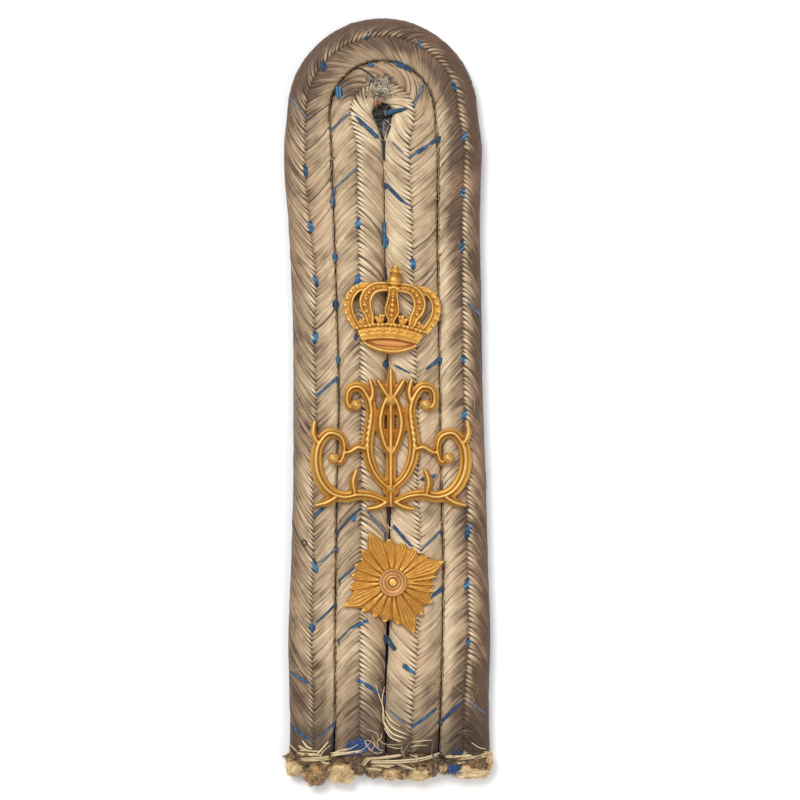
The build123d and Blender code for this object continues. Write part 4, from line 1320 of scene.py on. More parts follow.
HAIRS: Table = (
    (0.1, 4.9, -1.4, -55.8, -0.7, -56.5, 0.8, -56.8, 2.4, -56.8),
    (0.1, 4.9, -3.8, -56, -3.2, -57.1, -1.8, -58.2, -0.7, -58),
    (0.1, 4.8, -2.5, -55.3, -2, -56.7, -2.7, -57.8, -3.6, -56.2),
    (0.1, 4.9, -3.6, -56, -2.7, -56.2, -1.4, -57.5, -0.5, -57.8),
    (0.12, 4.8, -7.6, -58, -5.8, -57.3, -4.7, -56.7), (0.1, 4.8, -4.9, -58, -3.6, -57.3, -2.7, -56.4),
    (0.14, 4.9, -0.9, -54.9, -1, -55.7, -1.6, -56.2, -1.4, -57.3),
    (0.12, 4.8, 0, -57, 1.9, -57.4, 2.6, -57.3), (0.12, 4.9, 3.9, -56.4, 5.3, -56.2, 7.5, -56),
    (0.12, 4.9, 3.9, -57.1, 5.5, -56.9, 6.6, -56.9), (0.12, 4.8, 3.7, -58.4, 5.1, -59.1, 4.4, -59.8),
    (0.1, 4.9, -3.4, -54.2, -1.6, -55.1, -1.4, -56), (0.12, 4.8, 13.9, -56.4, 15.3, -57.3, 16.4, -57.5),
    (0.2, 4.55, -0.3, -51.2, 0.5, -52.6, 2.2, -53.8), (0.26, 4.55, -0.3, -52.2, 0.7, -53.8, 3.1, -55.1),
    (0.3, 4.55, -0.5, -53.1, 0.8, -54.9, 3.1, -55.8), (0.22, 4.55, -0.5, -54, 0.6, -55.6, 2.6, -56.4),
    (0.16, 4.65, -0.6, -50.6, -0.7, -52.4, -0.2, -54, 0.9, -55.6))


# rows of Clump
WOOL_PATCHES: Table = (
    (-4.7, -57, 4.1, 1.9, 0.75, 0.4, 0.55), (-5.6, -57.9, 4, 1.5, 0.35, 0.3, 0.5),
    (-2.2, -57.7, 3.9, 1, 0.5, 0.4, 0.25), (-4.2, -57.9, 3.8, 1.2, 0.5, 0.4, 0.2),
    (11.2, -61, 3, 1, 0.55, 0.5, 0.45), (11.5, -58.1, 4.1, 0.8, 0.15, 0.2, 0.25))
DARK_PATCHES: Table = (
    (-4.5, -60, 2.9, 1.2, 1.2, 0.7, 0), (7.6, -60.8, 2.8, 0.6, 1.1, 0.6, 0),
    (14.8, -59.9, 3, 1.5, 0.6, 0.5, 0.15), (3.6, -60.6, 2.8, 1.4, 0.5, 0.5, 0.1),
    (-9.8, -60.2, 2.9, 0.6, 0.9, 0.5, 0.1), (-1.8, -61.3, 2.6, 1, 0.5, 0.4, 0.1),
    (10, -60.1, 2.8, 0.8, 0.5, 0.4, 0.1), (-14.6, -60.2, 2.8, 0.8, 0.8, 0.4, 0.15),
    (3, -57.3, 4.3, 0.8, 0.8, 0.3, 0.2))


class CutEnd:
    """What hangs at the raw cut end: straw-coloured ribbons, brown threads, fine hairs and tufts of wool."""


    def threads(self, rows: Table, flat: float, light: Pair, seed: int, spread: int) -> Threads:
        """Turns a table into threads, each with thinner ones beside it.

        Args:
            rows: the table.
            flat: thickness as a share of width.
            light: lowest and highest shade.
            seed: seed of the unevenness.
            spread: how many thinner threads run beside each.

        Returns:
            The threads.
        """
        rng = np.random.default_rng(seed)
        threads = Threads(14)
        for full, height, *places in rows:
            base = np.array([(x, y, height) for x, y in zip(places[::2], places[1::2])])
            for k in range(1 + spread):
                drift = rng.normal(0, 0.14 * full if k else 0, (len(base), 3)) + (
                    rng.normal(0, 0.36 * full, (1, 3)) if k else 0)
                width = full * (rng.uniform(0.2, 0.45) if k else 0.72 if spread else 1.0)
                threads.add(base + drift, width, flat, rng.uniform(*light), 0.2,
                            up=(rng.normal(0, 0.25), rng.normal(0, 0.25), 1.0))
        return threads

    def tufts(self, patches: Table, seed: int, crowd: float) -> Threads:
        """Short curly fibres, close together in each patch.

        Args:
            patches: where they grow, and their shade.
            seed: seed of the unevenness.
            crowd: how many fibres for each square millimetre.

        Returns:
            The fibres.
        """
        rng = np.random.default_rng(seed)
        threads = Threads(9)
        for patch in (Clump(*row) for row in patches):
            for _ in range(int(crowd * 3.1 * patch.half_x * patch.half_y)):
                turn, away = rng.uniform(0, 2 * math.pi), math.sqrt(rng.random())
                start = np.array([patch.x + math.cos(turn) * away * patch.half_x,
                                  patch.y + math.sin(turn) * away * patch.half_y,
                                  patch.z + rng.uniform(-0.6, 1) * patch.half_z * (1 - 0.6 * away)])
                heading, rows = rng.uniform(0, 2 * math.pi), [start]
                for _ in range(4):
                    heading += rng.normal(0, 0.8)
                    step = (math.cos(heading), math.sin(heading), rng.normal(0, 0.3))
                    rows.append(rows[-1] + np.array(step) * 0.19)
                threads.add(rows, rng.uniform(0.08, 0.17), 0.9, patch.shade + rng.normal(0.0, 0.25))
        return threads

    def build(self, straw: Material, brown: Material, wool: Material) -> None:
        """Makes the threads of the cut end."""
        self.threads(STRAWS, 0.4, (0.25, 1.0), 31, 5).build("straw_ribbons", straw, "cotton")
        self.threads(BROWNS, 0.8, (0.0, 0.9), 32, 4).build("brown_threads", brown, "braid")
        self.threads(HAIRS, 0.8, (0.5, 1.0), 33, 0).build("end_hairs", straw, "cotton")
        self.tufts(WOOL_PATCHES, 41, 70.0).build("blue_wool_curls", wool, "wool")
        self.tufts(DARK_PATCHES, 42, 34.0).build("dark_tangles", brown, "braid")


@dataclass
class FrayedKnot:
    """The frayed, curly patch above the buttonhole, the reddish bit under it and the dark fuzz in the hole,
    which paints the shadow inside it.
    """

    ground: Ground
    middle: Pair = (-1.05, 52.0)
    half: Pair = (2.3, 1.65)
    red: Pair = (-1.58, 49.15)
    hole: Triple = (-0.78, 47.65, 1.75)
    foot: Triple = (-0.68, 43.1, 0.35)
    fibres: int = 560

    def spot(self, rng: Random, spread: float) -> Pair:
        """A random place in the patch."""
        return tuple(m + np.clip(rng.normal(0, spread), -1, 1) * h for m, h in zip(self.middle, self.half))

    def curls(self, rng: Random) -> Threads:
        """The threads of the patch: short fine fuzz below, and smooth pale loops on top."""
        threads = Threads(14)
        for _ in range(380):
            x, y = self.spot(rng, 0.50)
            heading, bend, rows = rng.uniform(0, 2 * math.pi), rng.normal(0, 0.5), []
            for _ in range(5):
                rows.append((x, y, self.ground.height(x, y) + 0.03 + abs(rng.normal(0, 0.03))))
                heading += bend
                x, y = x + math.cos(heading) * 0.16, y + math.sin(heading) * 0.16
            threads.add(rows, rng.uniform(0.06, 0.13), 0.9, rng.normal(0.30, 0.24))
        for k in range(66):
            x, y = self.spot(rng, 0.44)
            radius, start, span = rng.uniform(0.16, 0.52), rng.uniform(0, 2 * math.pi), rng.uniform(2.2, 5.4)
            squash, lift = rng.uniform(0.6, 1.0), rng.uniform(0.08, 0.22)
            rows = [(x + radius * math.cos(a), y + radius * squash * math.sin(a)) for a in
                    np.linspace(start, start + span, 9)]
            rows = [(a, b, self.ground.height(a, b) + lift) for a, b in rows]
            threads.add(rows, rng.uniform(0.09, 0.17), 0.9, rng.uniform(*((0.6, 1) if k % 4 else (0, 0.2))))
        return threads

    def fuzz(self, rng: Random) -> Threads:
        """Dark wool fibres that stand into the buttonhole from its walls, fewer at its foot: painted shadow
        in the hole, dark above and greyer at its foot.
        """
        threads = Threads(7)
        for _ in range(self.fibres):
            down = rng.random()
            mix = max(down - 0.40, 0.0) / 0.60
            x, y, radius = (a + (b - a) * mix for a, b in zip(self.hole, self.foot))
            turn = (rng.uniform(-0.5, math.pi + 0.5) if mix == 0 else
                    rng.choice((0.0, math.pi)) + rng.normal(0, 0.3))
            way = np.array([math.cos(turn), math.sin(turn)])
            side = np.array([-way[1], way[0]]) * rng.normal(0, 0.30)
            z, reach = rng.uniform(0.35, 2.6), radius * rng.uniform(0.25, 1.35 - 0.55 * down)
            rows = [(x + way[0] * (radius + 0.12 - reach * t) + side[0] * t,
                     y + way[1] * (radius + 0.12 - reach * t) + side[1] * t,
                     max(z - 0.5 * t * t + rng.normal(0, 0.05), 0.15)) for t in np.linspace(0, 1, 5)]
            # darker near the top of the hole and greyer towards its foot, as the painted shadow there
            light = rng.normal(0.04 + 0.85 * rise(-y - way[1], -46.8, 2.6), 0.10)
            threads.add(rows, rng.uniform(0.12, 0.26), 0.9, light)
        return threads

    def reds(self, rng: Random) -> Threads:
        """The reddish bit."""
        threads = Threads(9)
        for _ in range(34):
            x, y = self.red[0] + rng.normal(0, 0.25), self.red[1] + rng.normal(0, 0.36)
            heading = rng.uniform(1.1, 2.1)
            rows = [(x + math.cos(heading) * t, y + math.sin(heading) * t,
                     self.ground.height(x, y) + 0.12 - 0.3 * t * t + rng.normal(0, 0.02))
                    for t in np.linspace(-0.5, 0.5, 5)]
            threads.add(rows, rng.uniform(0.12, 0.22), 0.9, rng.uniform(0, 1))
        return threads

    def build(self, grey: Material, red: Material, dark: Material) -> None:
        """Makes the patch, the reddish bit and the fuzz that paints the hole's shadow."""
        rng = np.random.default_rng(17)
        self.curls(rng).build("frayed_knot", grey, "braid")
        self.reds(rng).build("reddish_threads", red, "braid")
        self.fuzz(rng).build("buttonhole_shadow_fuzz", dark, "wool")


# rows of Clump for each cord end
WADDING: dict[str, Table] = {
    "outer_left": (
        (-12.9, -59, 2.3, 3.7, 1.3, 1.6, 0.15), (-15.2, -60.6, 1.9, 1.5, 1.5, 1.5, 0.9),
        (-11.8, -61.6, 1.9, 1.9, 2, 1.6, 0.35), (-9.9, -60.6, 2, 1.1, 1.3, 1.4, 0.5)),
    "inner_left": (
        (-4.6, -59, 2.3, 3.7, 1.3, 1.6, 0.1), (-7.6, -61.4, 1.9, 2.3, 1.7, 1.5, 0.85),
        (-4.5, -60.3, 2.2, 1.5, 1.6, 1.4, 0.05), (-2.2, -61, 1.8, 1.4, 1.4, 1.3, 0.4)),
    "inner_right": (
        (4.6, -59, 2.3, 3.7, 1.3, 1.6, 0.15), (0.6, -61.7, 1.8, 1.6, 1.1, 1.3, 0.8),
        (2.5, -60.9, 1.9, 1.2, 1.6, 1.4, 0.15), (5.1, -61.6, 1.8, 2.2, 1.3, 1.4, 0.85),
        (7.6, -60.6, 2, 0.9, 1.6, 1.4, 0.2)),
    "outer_right": (
        (13, -59, 2.3, 3.7, 1.3, 1.6, 0.15), (9.4, -60.8, 1.9, 0.9, 1, 1.2, 0.5),
        (13.6, -61.3, 1.8, 3.2, 1.2, 1.4, 0.9), (15.2, -60, 2.1, 1.7, 1.2, 1.4, 0.2),
        (16.8, -59.4, 1.9, 0.7, 1.5, 1.3, 0.9)),
}


# Metal


class Casting:
    """Overlapping closed shapes of metal that a voxel remesh fuses into one soft casting.

    It is made in millimetres round the badge's own middle, with its back at z = 0.
    """

    SIDES = 14

    def __init__(self) -> None:
        """Starts an empty casting."""
        self.bm = bmesh.new()

    def sweep(self, line: Array, widths: Array | float, low: float, high: Array | float) -> None:
        """Runs an oval section along a line.

        Args:
            line: rows of x and y.
            widths: half width, one number or one a row.
            low: height of the section's foot.
            high: height of its top, one number or one a row.
        """
        widths, tops = (np.broadcast_to(np.asarray(v, float), (len(line),)) for v in (widths, high))
        runs = unit(np.gradient(line, axis=0))
        ring = bmesh.ops.create_circle(self.bm, cap_ends=True, segments=self.SIDES, radius=1.0)["verts"]
        face = ring[0].link_faces[0]
        turns = [(v, math.atan2(v.co.y, v.co.x)) for v in face.verts]
        for i, (spot, run, width, top) in enumerate(zip(line, runs, widths, tops)):
            if i:
                made = bmesh.ops.extrude_face_region(self.bm, geom=[face])["geom"]
                face = next(g for g in made if isinstance(g, bmesh.types.BMFace))
                fresh = {tuple(round(c, 6) for c in v.co): v for v in face.verts}
                turns = [(fresh[tuple(round(c, 6) for c in v.co)], a) for v, a in turns]
            middle, rise = (low + top) / 2, (top - low) / 2
            for v, a in turns:
                out = math.cos(a) * width
                v.co = (spot[0] - run[1] * out, spot[1] + run[0] * out, middle + math.sin(a) * rise)

    def ball(self, x: float, y: float, z: float, radius: float, flat: float = 1.0) -> None:
        """Adds a ball, or a flattened one."""
        matrix = Matrix.Translation((x, y, z)) @ Matrix.Diagonal((1.0, 1.0, flat, 1.0))
        bmesh.ops.create_uvsphere(self.bm, u_segments=14, v_segments=9, radius=radius, matrix=matrix)

    def pin(self, x: float, y: float, length: float, radius: float = 0.45) -> None:
        """Adds the straight pin behind the badge."""
        bmesh.ops.create_cone(self.bm, cap_ends=True, segments=16, radius1=radius, radius2=radius,
                              depth=length + 0.4, matrix=Matrix.Translation((x, y, 0.2 - length / 2)))

    def turned(self, profile: Sequence[Pair], segments: int = 64) -> None:
        """Spins a profile of (radius, height) rows round the z axis."""
        verts = [self.bm.verts.new((r, 0.0, z)) for r, z in profile]
        edges = [self.bm.edges.new(pair) for pair in zip(verts, verts[1:])]
        bmesh.ops.spin(self.bm, geom=verts + edges, axis=(0, 0, 1), cent=(0, 0, 0),
                       angle=2 * math.pi, steps=segments, use_merge=True)
        bmesh.ops.remove_doubles(self.bm, verts=self.bm.verts, dist=1e-5)


def tint_of(mesh: Mesh, ovals: Table) -> Array:
    """1 for the vertices well inside one of the ovals, 0 outside and a soft step between."""
    x, y = vertex_rows(mesh)[:, :2].T
    tint = np.zeros(len(x))
    for middle_x, middle_y, half_x, half_y in ovals:
        away = np.hypot((x - middle_x) / half_x, (y - middle_y) / half_y)
        tint = np.maximum(tint, np.clip((1.1 - away) / 0.25, 0, 1))
    return tint


def relief_of(mesh: Mesh) -> Array:
    """How far each vertex stands out of what is round it: 0 in a hollow, 0.5 on a plain, 1 on a ridge."""
    places, normals = vertex_rows(mesh), vertex_rows(mesh, "normal")
    pairs = np.empty(len(mesh.edges) * 2, int)
    mesh.edges.foreach_get("vertices", pairs)
    first, second = pairs[0::2], pairs[1::2]
    degree = np.bincount(pairs, minlength=len(places))[:, None]

    def around(values: Array) -> Array:
        """Mean of the neighbours' values."""
        total = np.zeros_like(values)
        np.add.at(total, first, values[second])
        np.add.at(total, second, values[first])
        return total / np.maximum(degree, 1)

    soft = places
    for _ in range(14):
        soft = around(soft)
    stand = ((places - soft) * normals).sum(axis=1, keepdims=True)
    for _ in range(2):
        stand = (stand + around(stand)) / 2
    return np.clip(0.5 + stand[:, 0] / 0.16, 0, 1)


@dataclass
class Badge:
    """What the badges share: their size and place, how their strokes are drawn, and how they are finished.

    A badge's voxel is the side of its remesh's cells, in millimetres, and its rounds are how often that is
    smoothed. Its height and half width are what its shares are of.
    """

    board: Board
    name: str = ""
    node: str = ""
    slot: str = "gilt"
    voxel: float = 0.1
    rounds: int = 2
    floor: float = 4.26
    pin_floor: float = 0.2
    half: float = 1.0
    height: float = 1.0
    place: Pair = (0.0, 0.0)
    turn: float = 0.0

    def path(self, spots: Table, sign: int, shift: float = 0.0, stations: int = 26) -> tuple[Array, Array]:
        """A smooth line through spots.

        Args:
            spots: rows of place across and up and the stroke's half width, as shares of the badge's half
                width, height and half width.
            sign: -1 for the mirrored side.
            shift: how far the line is moved to its left, as a share of the stroke's half width.
            stations: how many rows are wanted.

        Returns:
            Rows of x and y, and the half width at each.
        """
        rows = smooth_line(np.array([(across * self.half, up * self.height, 0.0, wide * self.half)
                                     for across, up, wide in spots]), stations)
        line, widths = rows[:, :2], rows[:, 3]
        if shift:
            run = unit(np.gradient(line, axis=0))
            line = line + np.stack([-run[:, 1], run[:, 0]], axis=1) * (widths * shift)[:, None]
        return line * np.array([sign, 1.0]), widths

    def ball(self, c: Casting, x: float, y: float, z: float, radius: float, flat: float = 1.0) -> None:
        """Adds a ball at a place given in shares."""
        c.ball(x * self.half, y * self.height, z, radius, flat)

    def pins(self, c: Casting, *ups: float) -> None:
        """Adds the pins behind the badge, at heights given in shares."""
        for up in ups:
            c.pin(0.0, up * self.height, self.floor - self.pin_floor)

    def finished(self, c: Casting, material: Material, tinted: Table = ()) -> Piece:
        """Fuses the casting, lays it on the board and ties it to the frame.

        Args:
            c: the casting.
            material: the metal's finish.
            tinted: the x, y and half sizes of the ovals that have the finish's second colour.

        Returns:
            The piece.
        """
        mesh = remeshed(c.bm, self.name, self.voxel, self.rounds)
        piece = linked(self.name, mesh)
        # the relief sets the gilt's painted highlight on ridges and painted shade in hollows
        set_attribute(piece, "hollow", relief_of(mesh))
        set_attribute(piece, "tint", tint_of(mesh, tinted))
        x, y = self.board.mm(*self.place)
        mesh.transform(Matrix.Translation((x, y, self.floor * MM))
                       @ Matrix.Rotation(math.radians(self.turn), 4, "Z") @ Matrix.Scale(MM, 4))
        mesh.materials.append(material)
        return settle_piece(piece, self.slot, self.node)


@dataclass
class Crown(Badge):
    """Crown of five beaded arches over a band, with an orb and a bud on top."""

    name: str = "gilt_crown"
    node: str = "crown_badge"
    half: float = 8.1
    height: float = 14.9
    place: Pair = (0.75, 73.45)
    turn: float = -4.0
    outer_arch: Table = (
        (0.44, 0.245, 0.066), (0.6, 0.244, 0.078), (0.76, 0.205, 0.088), (0.875, 0.115, 0.096),
        (0.9, 0.02, 0.098), (0.855, -0.075, 0.094), (0.76, -0.165, 0.088), (0.68, -0.22, 0.08))
    second_arch: Table = (
        (0, 0.248, 0.082), (0.22, 0.254, 0.098), (0.4, 0.228, 0.116), (0.515, 0.16, 0.132),
        (0.556, 0.08, 0.136), (0.528, 0, 0.124), (0.455, -0.075, 0.088), (0.425, -0.16, 0.06))
    middle_arch: Table = (
        (0, 0.25, 0.088), (0, 0.15, 0.104), (0, 0.05, 0.15), (0, -0.01, 0.168), (0, -0.06, 0.126),
        (0, -0.11, 0.068), (0, -0.165, 0.062))
    outer_pearls: Table = (
        (0.745, 0.232), (0.85, 0.175), (0.925, 0.1), (0.955, 0.018), (0.925, -0.064), (0.86, -0.138))
    second_pearls: Table = (
        (0.3, 0.246), (0.405, 0.224), (0.492, 0.176), (0.546, 0.108), (0.556, 0.036), (0.516, -0.03))
    middle_pearls: Table = (
        (0, 0.15, 0.24), (0, 0.108, 0.3), (0, 0.056, 0.4), (0, -0.004, 0.42), (0, -0.06, 0.3))

    def arch(self, c: Casting, spots: Table, sign: int, top: float, foot: float, *rims: Triple) -> None:
        """Adds an arch and its rims.

        Args:
            c: the casting.
            spots: the arch's line.
            sign: -1 for the mirrored side.
            top: the arch's height.
            foot: height of the rims' feet.
            rims: each rim's shift, half width and top.
        """
        c.sweep(*self.path(spots, sign), 0.0, top)
        for shift, radius, rim_top in rims:
            c.sweep(self.path(spots, sign, shift)[0], radius, foot, rim_top)

    def arches(self, c: Casting) -> None:
        """Adds the arches with their rims and pearls."""
        for sign in (1, -1):
            self.arch(c, self.outer_arch, sign, 1.15, 0.5, (-0.74, 0.22, 1.46), (0.75, 0.16, 1.20))
            self.arch(c, self.second_arch, sign, 1.45, 0.6, (-0.74, 0.27, 1.70), (0.74, 0.25, 1.70))
            for x, y in self.outer_pearls:
                self.ball(c, sign * x, y, 0.92, 0.45)
            for k, (x, y) in enumerate(self.second_pearls):
                self.ball(c, sign * x, y, 1.56, 0.27 + 0.03 * k if k < 4 else 0.36)
        self.arch(c, self.middle_arch, 1, 1.62, 0.8, (-0.80, 0.22, 1.92), (0.80, 0.22, 1.92))
        for x, y, radius in self.middle_pearls:
            self.ball(c, x, y, 1.80, radius)

    def arc(self, across: float, ends: float, middle: float, count: int = 30) -> Array:
        """Shallow arc over the width: half its width and the heights of its ends and middle, in shares."""
        x = np.linspace(-1, 1, count)
        return np.stack([x * across * self.half, (middle + (ends - middle) * x**2) * self.height], axis=1)

    def band(self, c: Casting) -> None:
        """Adds the beaded rim, the band, and the oval mouth with its lip."""
        rim = self.arc(0.69, -0.222, -0.163, 17)
        for i, (x, y) in enumerate(rim):
            c.ball(x, y + (0.06 if i % 3 == 1 else 0.0), 1.55, (0.37, 0.28, 0.33)[i % 3])
        c.sweep(rim, 0.28, 0.3, 1.55)
        c.sweep(self.arc(0.655, -0.275, -0.215), 0.62, 0.0, 1.62)
        c.sweep(self.arc(0.615, -0.315, -0.262), 0.66, 0.0, 1.70)
        c.sweep(self.arc(0.575, -0.350, -0.305), 0.34, 0.2, 1.82)
        for i, (x, y) in enumerate(self.arc(0.62, -0.286, -0.232, 9)[1:-1]):
            c.ball(x, y, 1.58, 0.20 if i % 2 else 0.27)
        taper = np.cos(np.linspace(-1.25, 1.25, 30))
        c.sweep(self.arc(0.50, -0.372, -0.368), 0.30 + 0.45 * taper, 0.0, 0.95)
        c.sweep(self.arc(0.545, -0.372, -0.458), 0.17 + 0.36 * taper, 0.0, 1.35 + 0.60 * taper)
        c.sweep(self.arc(0.470, -0.375, -0.418), 0.12 + 0.12 * taper, 0.2, 1.20 + 0.35 * taper)

    def leaves(self, c: Casting) -> None:
        """Adds the small horned leaves between the feet of the arches."""
        for sign in (1, -1):
            for x, y, size in ((0.235, -0.100, 1.0), (0.575, -0.150, 0.8)):
                for lean, tall in ((-0.10, 0.075), (0.0, 0.120), (0.10, 0.045)):
                    spots = ((x, y - 0.075, 0.050 * size), (x + lean * 0.5 * size, y - 0.02, 0.046 * size),
                             (x + lean * 0.85 * size, y + tall * 0.45 * size, 0.036 * size))
                    c.sweep(*self.path(spots, sign, stations=10), 0.0, 1.30 + 0.15 * (lean == 0))
                self.ball(c, sign * (x - 0.07 * size), y + 0.030, 1.25, 0.30 * size)

    def top(self, c: Casting) -> None:
        """Adds the collar, the orb and the bud."""
        c.sweep(np.array([(-1.0, 3.62), (0.0, 3.70), (1.0, 3.62)]), (0.34, 0.42, 0.34), 0.0, 1.9)
        c.ball(0.06, 4.86, 1.05, 1.18, 0.92)
        c.sweep(np.array([(-1.20, 4.42), (0.0, 4.28), (1.20, 4.42)]), (0.18, 0.22, 0.18), 0.3, 2.15)
        bud = np.array([
            (0.04, 5.5, 0.86, 1.6), (0.04, 5.85, 0.76, 1.6), (0.05, 6.15, 0.92, 1.85),
            (0.06, 6.42, 1.04, 1.95), (0.06, 6.75, 0.78, 1.95), (0.06, 7.1, 0.6, 1.85),
            (0.06, 7.38, 0.46, 1.3)])
        c.sweep(bud[:, :2], bud[:, 2], 0.2, bud[:, 3])
        for x, y, radius in ((-0.86, 6.42, 0.30), (0.06, 6.40, 0.42), (0.98, 6.34, 0.30), (0.06, 7.15, 0.36)):
            c.ball(x, y, 1.72, radius)

    def build(self, material: Material) -> Piece:
        """Makes the crown badge."""
        c = Casting()
        for part in (self.arches, self.band, self.leaves, self.top):
            part(c)
        self.pins(c, -0.24, 0.235)
        mouth = (0.25, -5.5, 4.1, 0.75)
        return self.finished(c, material, (mouth,))


# rows of place across and up and of half width, as shares
STROKES: dict[str, Table] = {
    "stem": (
        (0, -0.46, 0.04), (0, -0.3, 0.066), (0, -0.12, 0.06), (0, 0.06, 0.048), (0, 0.26, 0.05)),
    "top leaf": (
        (0, 0.25, 0.06), (0, 0.36, 0.066), (0, 0.465, 0.03)),
    "side leaf": (
        (0.02, 0.265, 0.045), (0.1, 0.335, 0.056), (0.165, 0.395, 0.03)),
    "lyre arm": (
        (0.035, -0.33, 0.055), (0.15, -0.27, 0.062), (0.255, -0.16, 0.07), (0.285, -0.03, 0.076),
        (0.255, 0.09, 0.072), (0.24, 0.19, 0.068), (0.29, 0.285, 0.068), (0.385, 0.345, 0.068),
        (0.49, 0.335, 0.062), (0.535, 0.265, 0.054), (0.49, 0.205, 0.046), (0.425, 0.225, 0.05)),
    "volute": (
        (0.06, -0.425, 0.045), (0.26, -0.385, 0.062), (0.4, -0.38, 0.07), (0.56, -0.395, 0.074),
        (0.72, -0.37, 0.078), (0.86, -0.28, 0.08), (0.915, -0.15, 0.076), (0.87, -0.03, 0.07),
        (0.75, 0.035, 0.066), (0.62, 0.015, 0.058), (0.57, -0.085, 0.05), (0.63, -0.16, 0.046),
        (0.705, -0.135, 0.05)),
    "inner leaf": (
        (0, -0.12, 0.048), (0.085, -0.02, 0.054), (0.13, 0.1, 0.054), (0.095, 0.21, 0.046),
        (0.035, 0.29, 0.036)),
    "link": (
        (0.275, -0.08, 0.046), (0.4, -0.06, 0.052), (0.5, -0.09, 0.044), (0.575, -0.1, 0.04)),
    "corner leaf": (
        (0.64, -0.385, 0.05), (0.79, -0.432, 0.054), (0.925, -0.452, 0.026)),
    "outer leaf": (
        (0.875, -0.05, 0.045), (0.945, 0.03, 0.044), (0.93, 0.12, 0.022)),
    "volute leaf": (
        (0.44, -0.37, 0.046), (0.462, -0.29, 0.05), (0.415, -0.205, 0.024)),
    "crest leaf": (
        (0.265, 0.215, 0.045), (0.222, 0.31, 0.046), (0.258, 0.4, 0.024)),
    "foot leaf": (
        (0.04, -0.425, 0.045), (0.17, -0.462, 0.046), (0.3, -0.474, 0.024)),
}


@dataclass
class Scroll(Badge):
    """Pierced scrollwork: a leafy stem between two lyre arms and two large volutes."""

    name: str = "gilt_scrollwork"
    node: str = "scroll_badge"
    voxel: float = 0.12
    half: float = 13.5
    height: float = 24.6
    place: Pair = (0.55, 52.3)
    arm_beads: Table = (
        (0.29, -0.052, 0.44), (0.285, -0.012, 0.47), (0.276, 0.03, 0.48), (0.265, 0.07, 0.46),
        (0.255, 0.109, 0.43), (0.247, 0.146, 0.39))
    knobs: tuple[Pair, ...] = ((0.425, 0.225), (0.705, -0.135))
    collars: tuple[float, ...] = (-0.340, 0.245)

    def build(self, material: Material) -> Piece:
        """Makes the scrollwork badge."""
        c = Casting()
        for spots in STROKES.values():
            for sign in ((1,) if all(s[0] == 0 for s in spots) else (1, -1)):
                line, width = self.path(spots, sign, stations=14 * len(spots) // 2)
                c.sweep(line, width * 1.02, 0.0, 1.02)
                taper = np.sin(np.linspace(0.25, math.pi - 0.25, len(line))) ** 0.35
                c.sweep(line, 0.33 * taper + 0.02, 0.3, 1.12 + 0.55 * taper)
        for sign in (1, -1):
            for x, y, radius in self.arm_beads:
                self.ball(c, sign * x, y, 1.25, radius)
            for x, y in self.knobs:
                self.ball(c, sign * x, y, 1.05, 0.98, 0.85)
                self.ball(c, sign * x, y, 1.62, 0.42)
        for up in self.collars:
            for level, radius in ((0.95, 1.5), (1.45, 1.05), (1.72, 0.5)):
                self.ball(c, 0.0, up, 0.25, radius, level / radius)
        self.pins(c, -0.30, 0.20)
        return self.finished(c, material)


